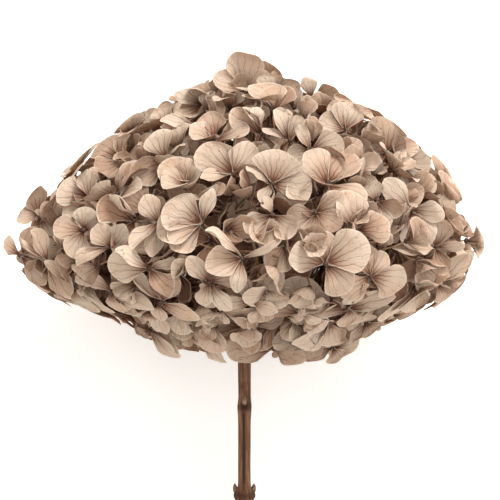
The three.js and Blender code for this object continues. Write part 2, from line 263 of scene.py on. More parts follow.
# Each cluster keeps to its own side of the planes halfway to its neighbours.
def clearOfWalls(point, own, centres, clearance):
    moved = point.copy()
    for other in centres:
        if other is own:
            continue
        away = (own - other).normalized()
        room = moved.dot(away) - ((own + other) * 0.5).dot(away)
        if room < clearance:
            moved += away * (clearance - room)
    return moved


def clusterHub(own, centres):
    hub = clearOfWalls(
        own - domeNormal(own) * head["hubDepth"], own, centres, head["hubRadius"] + head["jointGap"],
    )
    fromAxis = math.hypot(hub.x, hub.y)
    if hub.z < stem["rachisTop"] + head["hubRoom"] and fromAxis < head["hubRoom"]:
        hub.x *= head["hubRoom"] / fromAxis
        hub.y *= head["hubRoom"] / fromAxis
    return hub


florets = outerFlorets()
centres = clusterCentres([floret["eye"] for floret in florets])
hubs = [clusterHub(own, centres) for own in centres]
for floret in florets:
    floret["cluster"] = nearest(floret["eye"], centres)
    floret["eye"] = clearOfWalls(
        floret["eye"], centres[floret["cluster"]], centres, head["eyeClearance"],
    )
print("outer florets:", len(florets), "in", len(centres), "clusters")

# Each eye has to lie in its own cluster's CAD box.
for floret in florets:
    low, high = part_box(f"floret_cluster_{floret['cluster'] + 1:02d}")
    eye = layDown @ floret["eye"]
    if any(eye[axis] < low[axis] - 0.001 or eye[axis] > high[axis] + 0.001 for axis in range(3)):
        raise ValueError("a floret is outside its CAD cluster: the layout differs from the CAD part")

# Deeper layers fill the spaces between the outer florets. Each layer's tone paints it browner the deeper it
# lies, as painted shade between the outer florets.
innerLayers = [
    {
        "spots": 1511, "stride": 587, "scale": 0.955, "spacing": 11.5, "clearOfOuter": 8.2,
        "reach": (9, 12), "cup": (35, 68), "tilt": 0.9, "tone": 0.0, "cuts": 5,
    },
    {
        "spots": 1301, "stride": 503, "scale": 0.87, "spacing": 11.5, "clearOfOuter": 7.5,
        "reach": (11, 14), "cup": (10, 60), "tilt": 0.8, "tone": 0.3, "cuts": 5,
    },
    {
        "spots": 907, "stride": 389, "scale": 0.72, "spacing": 13.5, "clearOfOuter": 12,
        "reach": (12, 15), "cup": (0, 35), "tilt": 0.6, "tone": 0.7, "cuts": 4,
    },
    {
        "spots": 601, "stride": 233, "scale": 0.54, "spacing": 14, "clearOfOuter": 12,
        "reach": (13, 16), "cup": (0, 25), "tilt": 0.4, "tone": 0.9, "cuts": 4,
    },
]
innerRoom = {"stemTop": 30, "overSurface": 9}
innerGrowth = 1.12
inner = []
for number, layer in enumerate(innerLayers):
    for spot, eye in domeSpots(layer["spots"], layer["stride"], layer["scale"]):
        if math.hypot(eye.x, eye.y) < head["stemRoom"] and eye.z < innerRoom["stemTop"]:
            continue
        if heightOver(eye) < innerRoom["overSurface"]:
            continue
        if any((other["eye"] - eye).length < layer["clearOfOuter"] for other in florets):
            continue
        if any((other["eye"] - eye).length < layer["spacing"] for other in inner):
            continue
        item = 5000 * (number + 1) + spot
        wobble = Vector([chance(item, question) - 0.5 for question in (1, 2, 3)])
        inner.append({
            "eye": eye,
            "facing": (domeNormal(eye) + wobble * (2 * layer["tilt"])).normalized(),
            "spin": 360 * chance(item, 4),
            "reach": pick(layer["reach"], item, 5),
            "cup": pick(layer["cup"], item, 6),
            "cluster": nearest(eye, centres),
            "tone": layer["tone"],
            "growth": innerGrowth,
            "cuts": layer["cuts"],
            "shown": False,
        })
print("inner florets:", len(inner))


# A hex value as it is seen on screen, turned to the linear colour that nodes take.
def linear(hexColour):
    channels = [int(hexColour[n:n + 2], 16) / 255 for n in (0, 2, 4)]
    return [c / 12.92 if c <= 0.04045 else ((c + 0.055) / 1.055) ** 2.4 for c in channels] + [1.0]


# An input is a value, a socket, or a node whose first output is meant. MapRange turns its value from
# the range 1 to 2 into the range 3 to 4, and a colour Mix goes from 6 to 7 by the amount 0.
def addNode(tree, kind, inputs=None, **settings):
    made = tree.nodes.new("ShaderNode" + kind)
    for name, value in settings.items():
        setattr(made, name, value)
    for key, value in (inputs or {}).items():
        if isinstance(value, bpy.types.Node):
            value = value.outputs[0]
        if isinstance(value, bpy.types.NodeSocket):
            tree.links.new(value, made.inputs[key])
        else:
            made.inputs[key].default_value = value
    return made


def newMaterial(name):
    made = bpy.data.materials.new(name)
    made.use_nodes = True
    made.node_tree.nodes.clear()
    return made, made.node_tree


# Dried sepal: papery plant skin, air dried. The eye gets matt, cloudy brown paper that lets some warm
# light through, with veins that branch from the foot, a net between them, dark streaks out from the
# floret's eye and a paler rim. The rim is partly the paper's own paler edge and partly a painted highlight
# where curled edges catch the light. High tones turn it brown, which in the deeper layers and on sepals
# that lie in shade is painted shade. Veins are counted round the foot: 4.6 a radian are 3 mm apart at the
# rim of a 15 mm sepal, and 13 are 1 mm apart. The net's cells are 1 mm, coarser than real ones, so they
# show.
sepalFinish = {
    # rim is the paler edge colour, partly the paper's own and partly a painted highlight
    "face": {
        "pale": "DDCBB6", "middle": "CFAF95", "brown": "8D5F46", "vein": "6C3E26", "spot": "4A2616",
        "rim": "E8DAC6", "through": "FFE2C0",
    },
    "back": {
        "pale": "D4C0AA", "middle": "C2A086", "brown": "845940", "vein": "683B26", "spot": "4A2616",
        "rim": "DECDB6", "through": "FFE2C0",
    },
    # veins a radian, how far they are shifted, their half width and how strong they are
    "veins": [(4.6, 0.0, 0.012, 0.75), (13, 0.25, 0.008, 0.35)],
    "veinOrigin": 0.14,  # how far behind the foot they meet, of the length
    "veinWander": 0.13,  # radians
    "netCells": 9,
    "netScale": 1.6,
    "cloudSize": 9,  # mm
    "spotSize": 1.3,  # mm
    "seedStep": 37.0,  # keeps the patterns of any two sepals apart
    "roughness": 0.78,
    "specular": 0.25,
    "veinRelief": 0.0004,  # m
    "shineThrough": 0.28,
}


def sepalMaterial(name, colours):
    made, tree = newMaterial(name)
    f = sepalFinish
    place = addNode(tree, "Attribute", attribute_name="sepalPlace").outputs["Vector"]
    mood = addNode(tree, "Attribute", attribute_name="sepalMood").outputs["Vector"]
    across, along, rim = addNode(tree, "SeparateXYZ", {0: place}).outputs
    tone, seed, spare = addNode(tree, "SeparateXYZ", {0: mood}).outputs

    # polar places round a point a little behind the sepal's foot
    lifted = addNode(tree, "Math", {0: along, 1: f["veinOrigin"]}, operation="ADD")
    theta = addNode(tree, "Math", {0: across, 1: lifted}, operation="ARCTAN2")
    flat = addNode(tree, "CombineXYZ", {0: across, 1: lifted})
    rho = addNode(tree, "VectorMath", {0: flat}, operation="LENGTH").outputs["Value"]
    ownSeed = addNode(tree, "Math", {0: seed, 1: f["seedStep"]}, operation="MULTIPLY")
    wanderAt = addNode(tree, "CombineXYZ", {0: across, 1: along, 2: ownSeed})
    wander = addNode(tree, "TexNoise", {"Vector": wanderAt, "Scale": 3.2, "Detail": 2.0})
    bend = addNode(tree, "MapRange", {0: wander, 1: 0.0, 2: 1.0, 3: -f["veinWander"], 4: f["veinWander"]})
    bent = addNode(tree, "Math", {0: theta, 1: bend}, operation="ADD")

    lines = []
    for count, offset, width, strength in f["veins"]:
        turned = addNode(tree, "Math", {0: bent, 1: count, 2: offset}, operation="MULTIPLY_ADD")
        apart = addNode(tree, "Math", {0: turned, 1: 0.5}, operation="PINGPONG")
        away = addNode(tree, "Math", {0: apart, 1: rho}, operation="MULTIPLY")
        lines.append(addNode(tree, "MapRange", {
            0: away, 1: width * count * 0.25, 2: width * count, 3: strength, 4: 0.0,
        }))
    mainVeins, sideVeins = lines
    sidesStart = addNode(tree, "MapRange", {0: rho, 1: 0.3, 2: 0.6, 3: 0.0, 4: 1.0})
    sideVeins = addNode(tree, "Math", {0: sideVeins, 1: sidesStart}, operation="MULTIPLY")
    netAcross = addNode(tree, "Math", {0: bent, 1: f["netCells"], 2: ownSeed}, operation="MULTIPLY_ADD")
    netAlong = addNode(tree, "Math", {0: rho, 1: f["netCells"]}, operation="MULTIPLY")
    net = addNode(
        tree, "TexVoronoi",
        {"Vector": addNode(tree, "CombineXYZ", {0: netAcross, 1: netAlong}), "Scale": f["netScale"]},
        voronoi_dimensions="2D", feature="DISTANCE_TO_EDGE",
    )
    netLine = addNode(tree, "MapRange", {0: net.outputs["Distance"], 1: 0.02, 2: 0.11, 3: 0.2, 4: 0.0})
    veins = addNode(tree, "Math", {0: mainVeins, 1: sideVeins}, operation="MAXIMUM")
    veins = addNode(tree, "Math", {0: veins, 1: netLine}, operation="MAXIMUM")

    # how much of each colour there is, from the ground up
    where = addNode(tree, "TexCoord").outputs["Object"]
    clouds = addNode(tree, "TexNoise", {"Vector": where, "Scale": 1000 / f["cloudSize"], "Detail": 3.0})
    cloudy = addNode(tree, "MapRange", {0: clouds, 1: 0.36, 2: 0.66, 3: -0.25, 4: 0.35})
    toned = addNode(tree, "Math", {0: tone, 1: cloudy}, operation="ADD", use_clamp=True)
    # High tones turn brown. This is random dried tone, and painted shade in the deeper layers and on sepals
    # that lie in shade.
    agedAndShadeBrown = addNode(tree, "MapRange", {0: tone, 1: 0.72, 2: 1.15, 3: 0.0, 4: 0.8})
    foot = addNode(
        tree, "MapRange", {0: along, 1: 0.03, 2: 0.55, 3: 1.0, 4: 0.0}, interpolation_type="SMOOTHSTEP",
    )
    browned = addNode(tree, "Math", {0: agedAndShadeBrown, 1: foot}, operation="MAXIMUM")
    reach = addNode(tree, "MapRange", {0: along, 1: 0.04, 2: 0.58, 3: 1.35, 4: 0.0})
    streaks = addNode(tree, "Math", {0: mainVeins, 1: reach}, operation="MULTIPLY", use_clamp=True)
    heart = addNode(tree, "MapRange", {0: along, 1: 0.02, 2: 0.2, 3: 1.0, 4: 0.0})
    streaked = addNode(tree, "Math", {0: streaks, 1: heart}, operation="MAXIMUM")
    # The paler rim is partly the paper's own edge and partly a painted highlight where curled edges catch
    # the light.
    paleRimAndHighlight = addNode(tree, "MapRange", {0: rim, 1: 0.88, 2: 0.98, 3: 0.0, 4: 0.6})
    fading = addNode(tree, "MapRange", {0: along, 1: 0.2, 2: 1.0, 3: 0.5, 4: 0.24})
    veined = addNode(tree, "Math", {0: veins, 1: fading}, operation="MULTIPLY")
    specks = addNode(tree, "TexNoise", {"Vector": where, "Scale": 1000 / f["spotSize"], "Detail": 1.0})
    specked = addNode(tree, "MapRange", {0: specks, 1: 0.68, 2: 0.76, 3: 0.0, 4: 0.42})
    body = linear(colours["pale"])
    for amount, colour in (
        (toned, "middle"), (browned, "brown"), (streaked, "spot"), (paleRimAndHighlight, "rim"), (veined, "vein"),
        (specked, "spot"),
    ):
        body = addNode(
            tree, "Mix", {0: amount, 6: body, 7: linear(colours[colour])}, data_type="RGBA",
        ).outputs[2]

    # relief: raised veins, and wrinkles that run along the sepal
    wrinkleAcross = addNode(tree, "Math", {0: bent, 1: 7.0}, operation="MULTIPLY")
    wrinkleAlong = addNode(tree, "Math", {0: rho, 1: 2.4}, operation="MULTIPLY")
    wrinkleAt = addNode(tree, "CombineXYZ", {0: wrinkleAcross, 1: wrinkleAlong, 2: ownSeed})
    wrinkles = addNode(tree, "TexNoise", {"Vector": wrinkleAt, "Scale": 1.5, "Detail": 3.0})
    relief = addNode(tree, "Math", {0: wrinkles, 1: 1.4, 2: veins}, operation="MULTIPLY_ADD")
    bump = addNode(tree, "Bump", {"Strength": 0.7, "Distance": f["veinRelief"], "Height": relief})

    skin = addNode(tree, "BsdfPrincipled", {
        "Base Color": body, "Roughness": f["roughness"], "Specular IOR Level": f["specular"],
        "Normal": bump,
    })
    warmed = addNode(
        tree, "Mix", {0: 1.0, 6: body, 7: linear(colours["through"])},
        data_type="RGBA", blend_type="MULTIPLY",
    ).outputs[2]
    through = addNode(tree, "BsdfTranslucent", {"Color": warmed, "Normal": bump})
    both = addNode(tree, "MixShader", {0: f["shineThrough"], 1: skin, 2: through})
    addNode(tree, "OutputMaterial", {"Surface": both})
    return made


# Dry hydrangea bark: thin brown skin that has shrunk onto the wood. The eye gets fine lengthwise ridges,
# paler worn streaks, dark blotches, and nearly black leaf scars and furrows. The rays' bark is younger
# and paler.
barkFinish = {
    "stem": {"ground": "6E4C36", "worn": "9C775A", "dark": "2C140B", "scar": "2C140B"},
    "ray": {"ground": "8C6C50", "worn": "B39678", "dark": "5B3E2B", "scar": "5B3E2B"},
    "streakWidth": 0.9,  # mm
    "streakLength": 14,  # mm
    "blotchSize": 7.14,  # mm
    "roughness": 0.72,
    "specular": 0.2,
    "ridgeRelief": 0.0003,  # m
}


def barkMaterial(name, colours):
    made, tree = newMaterial(name)
    f = barkFinish
    where = addNode(tree, "TexCoord").outputs["Object"]
    standing = addNode(tree, "Mapping", {"Vector": where, "Rotation": (math.pi / 2 - slope, 0, 0)})
    fine, long = 1000 / f["streakWidth"], 1000 / f["streakLength"]
    streakAt = addNode(tree, "VectorMath", {0: standing, 1: (fine, fine, long)}, operation="MULTIPLY")
    streaks = addNode(
        tree, "TexNoise", {"Vector": streakAt, "Scale": 1.0, "Detail": 4.0, "Roughness": 0.6},
    )
    worn = addNode(tree, "MapRange", {0: streaks, 1: 0.5, 2: 0.72, 3: 0.0, 4: 0.8})
    dark = addNode(tree, "MapRange", {0: streaks, 1: 0.30, 2: 0.46, 3: 0.8, 4: 0.0})
    blotches = addNode(tree, "TexNoise", {"Vector": where, "Scale": 1000 / f["blotchSize"], "Detail": 3.0})
    blotched = addNode(tree, "MapRange", {0: blotches, 1: 0.5, 2: 0.75, 3: 0.0, 4: 0.55})
    marks = addNode(tree, "Attribute", attribute_name="barkMarks").outputs["Vector"]
    scar, furrow, spare = addNode(tree, "SeparateXYZ", {0: marks}).outputs
    body = linear(colours["ground"])
    for amount, colour in (
        (worn, "worn"), (dark, "dark"), (blotched, "dark"), (scar, "scar"), (furrow, "dark"),
    ):
        body = addNode(
            tree, "Mix", {0: amount, 6: body, 7: linear(colours[colour])}, data_type="RGBA",
        ).outputs[2]
    bump = addNode(tree, "Bump", {"Strength": 0.6, "Distance": f["ridgeRelief"], "Height": streaks})
    skin = addNode(tree, "BsdfPrincipled", {
        "Base Color": body, "Roughness": f["roughness"], "Specular IOR Level": f["specular"],
        "Normal": bump,
    })
    addNode(tree, "OutputMaterial", {"Surface": skin})
    return made


# Small dry parts: two tones in a fine grain, with a little relief. The eye gets nearly black withered
# petals in a floret's eye, tight brown scales on a bud, and on the cut end matt fibrous wood round pale
# spongy pith. The grain's size is in mm.
smallFinish = {
    "eye": {"light": "55331F", "dark": "21100A", "grain": 0.8, "roughness": 0.7},
    "bud": {"light": "8E6E56", "dark": "3E2619", "grain": 1.2, "roughness": 0.65},
    "wood": {"light": "CDB48F", "dark": "A78A66", "grain": 0.9, "roughness": 0.85},
    "pith": {"light": "E3D6BD", "dark": "C6B494", "grain": 0.7, "roughness": 0.95},
}


def smallPartMaterial(name, finish):
    made, tree = newMaterial(name)
    where = addNode(tree, "TexCoord").outputs["Object"]
    grain = addNode(tree, "TexNoise", {"Vector": where, "Scale": 1000 / finish["grain"], "Detail": 3.0})
    amount = addNode(tree, "MapRange", {0: grain, 1: 0.35, 2: 0.65, 3: 0.0, 4: 1.0})
    body = addNode(
        tree, "Mix", {0: amount, 6: linear(finish["dark"]), 7: linear(finish["light"])}, data_type="RGBA",
    ).outputs[2]
    bump = addNode(tree, "Bump", {"Strength": 0.5, "Distance": 0.0002, "Height": grain})
    skin = addNode(tree, "BsdfPrincipled", {
        "Base Color": body, "Roughness": finish["roughness"], "Normal": bump,
    })
    addNode(tree, "OutputMaterial", {"Surface": skin})
    return made


driedSepalFace = sepalMaterial("driedSepalFace", sepalFinish["face"])
driedSepalBack = sepalMaterial("driedSepalBack", sepalFinish["back"])
stemBark = barkMaterial("dryStemBark", barkFinish["stem"])
rayBark = barkMaterial("dryRayBark", barkFinish["ray"])
driedEye = smallPartMaterial("driedFloretEye", smallFinish["eye"])
budScale = smallPartMaterial("dryBudScale", smallFinish["bud"])
cutWood = smallPartMaterial("cutDryWood", smallFinish["wood"])
stemPith = smallPartMaterial("spongyPith", smallFinish["pith"])
print("materials made")


# Every piece rides on the flower's one body, and is laid down by its mesh.
def newPiece(name, bm, materials, replaced=()):
    bmesh.ops.transform(bm, matrix=layDown, verts=bm.verts)
    mesh = bpy.data.meshes.new(name)
    bm.to_mesh(mesh)
    bm.free()
    for material in materials:
        mesh.materials.append(material)
    piece = bpy.data.objects.new(name, mesh)
    bpy.context.scene.collection.objects.link(piece)
    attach(piece, "root")
    if replaced:
        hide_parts(*replaced)
    return piece


def smoothStep(low, high, value):
    t = min(max((value - low) / (high - low), 0), 1)
    return t * t * (3 - 2 * t)


def facingAlong(point, way):
    return Matrix.Translation(point) @ way.to_track_quat("Z", "Y").to_matrix().to_4x4()


# A path that leaves its start one way and comes to its end another way.
def curvedPath(start, startWay, end, endWay, steps):
    pull = (end - start).length * 0.36
    a, b = start + startWay * pull, end - endWay * pull
    points = []
    for n in range(steps + 1):
        t = n / steps
        points.append(
            start * (1 - t) ** 3 + a * (3 * t * (1 - t) ** 2) + b * (3 * t * t * (1 - t)) + end * t ** 3
        )
    return points


# A stalk grows ring by ring along a path, and is closed at both ends.
def growStalk(bm, points, radii, sides):
    last = len(points) - 1
    ways = [(points[min(n + 1, last)] - points[max(n - 1, 0)]).normalized() for n in range(last + 1)]
    placed = facingAlong(points[0], ways[0])
    ring = bmesh.ops.create_circle(bm, segments=sides, radius=radii[0], matrix=placed)["verts"]
    edges = list({e for v in ring for e in v.link_edges})
    ends = [edges]
    faces = []
    for n in range(1, last + 1):
        grown = bmesh.ops.extrude_edge_only(bm, edges=edges)["geom"]
        verts = [g for g in grown if isinstance(g, bmesh.types.BMVert)]
        edges = [g for g in grown if isinstance(g, bmesh.types.BMEdge)]
        faces += [g for g in grown if isinstance(g, bmesh.types.BMFace)]
        turn = ways[n - 1].rotation_difference(ways[n]).to_matrix().to_4x4()
        moved = (
            Matrix.Translation(points[n]) @ turn @ Matrix.Scale(radii[n] / radii[n - 1], 4)
            @ Matrix.Translation(-points[n - 1])
        )
        bmesh.ops.transform(bm, matrix=moved, verts=verts)
    ends.append(edges)
    for edges in ends:
        faces += bmesh.ops.contextual_create(bm, geom=edges)["faces"]
    bmesh.ops.recalc_face_normals(bm, faces=faces)
    for face in faces:
        face.smooth = True


def addBall(bm, radius, level, place, material):
    ball = bmesh.ops.create_icosphere(bm, subdivisions=level, radius=radius, matrix=place)
    for face in {f for v in ball["verts"] for f in v.link_faces}:
        face.material_index = material
        face.smooth = True


sepal = {
    "cuts": 6,  # of the grid that a sepal is made from; hidden florets have fewer
    "profileSteps": 12,
    "thickness": 0.22,
    "thinning": (1.15, 0.75),  # of the thickness: at the middle, and lost at the rim
    "foot": 0.3,  # width at the foot, of the widest
    "widestFrom": 0.62,
    "width": (0.74, 1.04),  # of the length
    "bend": (-45, 60),  # from foot to tip, in degrees
    "tipCurl": (-45, 40),
    "spoon": (0.0, 0.8),  # how far the sides are lifted
    "spoonDepth": 0.36,
    "fold": (-0.05, 0.3),
    "ruffle": (0.005, 0.045),
    "rimCurl": (-0.06, 0.1),
    "rimFrom": 0.6,
    "crumple": (0.04, 0.15),
    "crumples": 0.9,  # how many there are across half a sepal
    "twist": (-28, 28),
    "unevenness": (0.8, 1.12),  # between the sepals of one floret
    "cupLift": 6,
    "cupSpread": 66,  # degrees between the flattest and the most raised sepal of a floret
    "pairLift": 10,  # a floret's sepals stand in two pairs, one over the other
    "pairStep": 0.8,
    "turnSpread": 18,
    "toneSpread": (0.55, 0.55),  # between florets, and between the sepals of one
    "toneStart": -0.08,
    "growth": 1.32,  # of the CAD florets' flat sepals
    "rootGap": 0.35,
    "point": (-0.02, 0.1),  # how far the tip runs out beyond round
    # how far sepals stand out from the dome of eyes before they are pressed back, from under to crown
    "outline": [
        (-91, 12), (-45, 14), (-36, 7), (-28, 1), (-19, 0.5), (-12, 4), (0, 8), (30, 8), (45, 6), (60, 6),
        (76, 4), (84, 12), (91, 16),
    ],
    "give": 0.33,  # how much of what goes beyond it stays there
    "eyeInside": 2,
    "clearance": (0.25, 0.75),  # of sepals that lie on the surface
}
# Florets that stand in front have their sepals placed one by one, and draw only these by chance.
shownSepal = {
    "fold": (0, 0.12),
    "bend": (-25, 25),
    "tipCurl": (-25, 25),
    "twist": (-12, 12),
    "toneSpread": 0.2,
    "pairStep": 0.6,
    "forward": 2.5,
    "free": 4,  # how much farther they may stand out
    "crownFree": 12,
}
manySepals, fewSepals = 0.88, 0.06  # draws over and under which a hidden floret has five or three
eyeShape = {"radius": (1.1, 1.6), "squash": 0.8, "lift": 0.9}
pedicel = {"radius": 0.42, "footSwell": 1.15, "thinning": 0.3, "sides": 5, "steps": 5, "knot": 1.25}
mapCells = 14  # each sepal's two sides have their own squares of the colour map
mapReach = (0.44, 0.47)  # how much of a square the face and the back take up, from its middle
surfaceGap = 0.15

# Each draw has its own question, so that adding one leaves the others as they are.
sepalQuestions = {
    "width": 20, "bend": 21, "tipCurl": 22, "spoon": 23, "fold": 24, "ruffle": 25, "rimCurl": 26,
    "crumple": 27, "twist": 28, "point": 29,
}
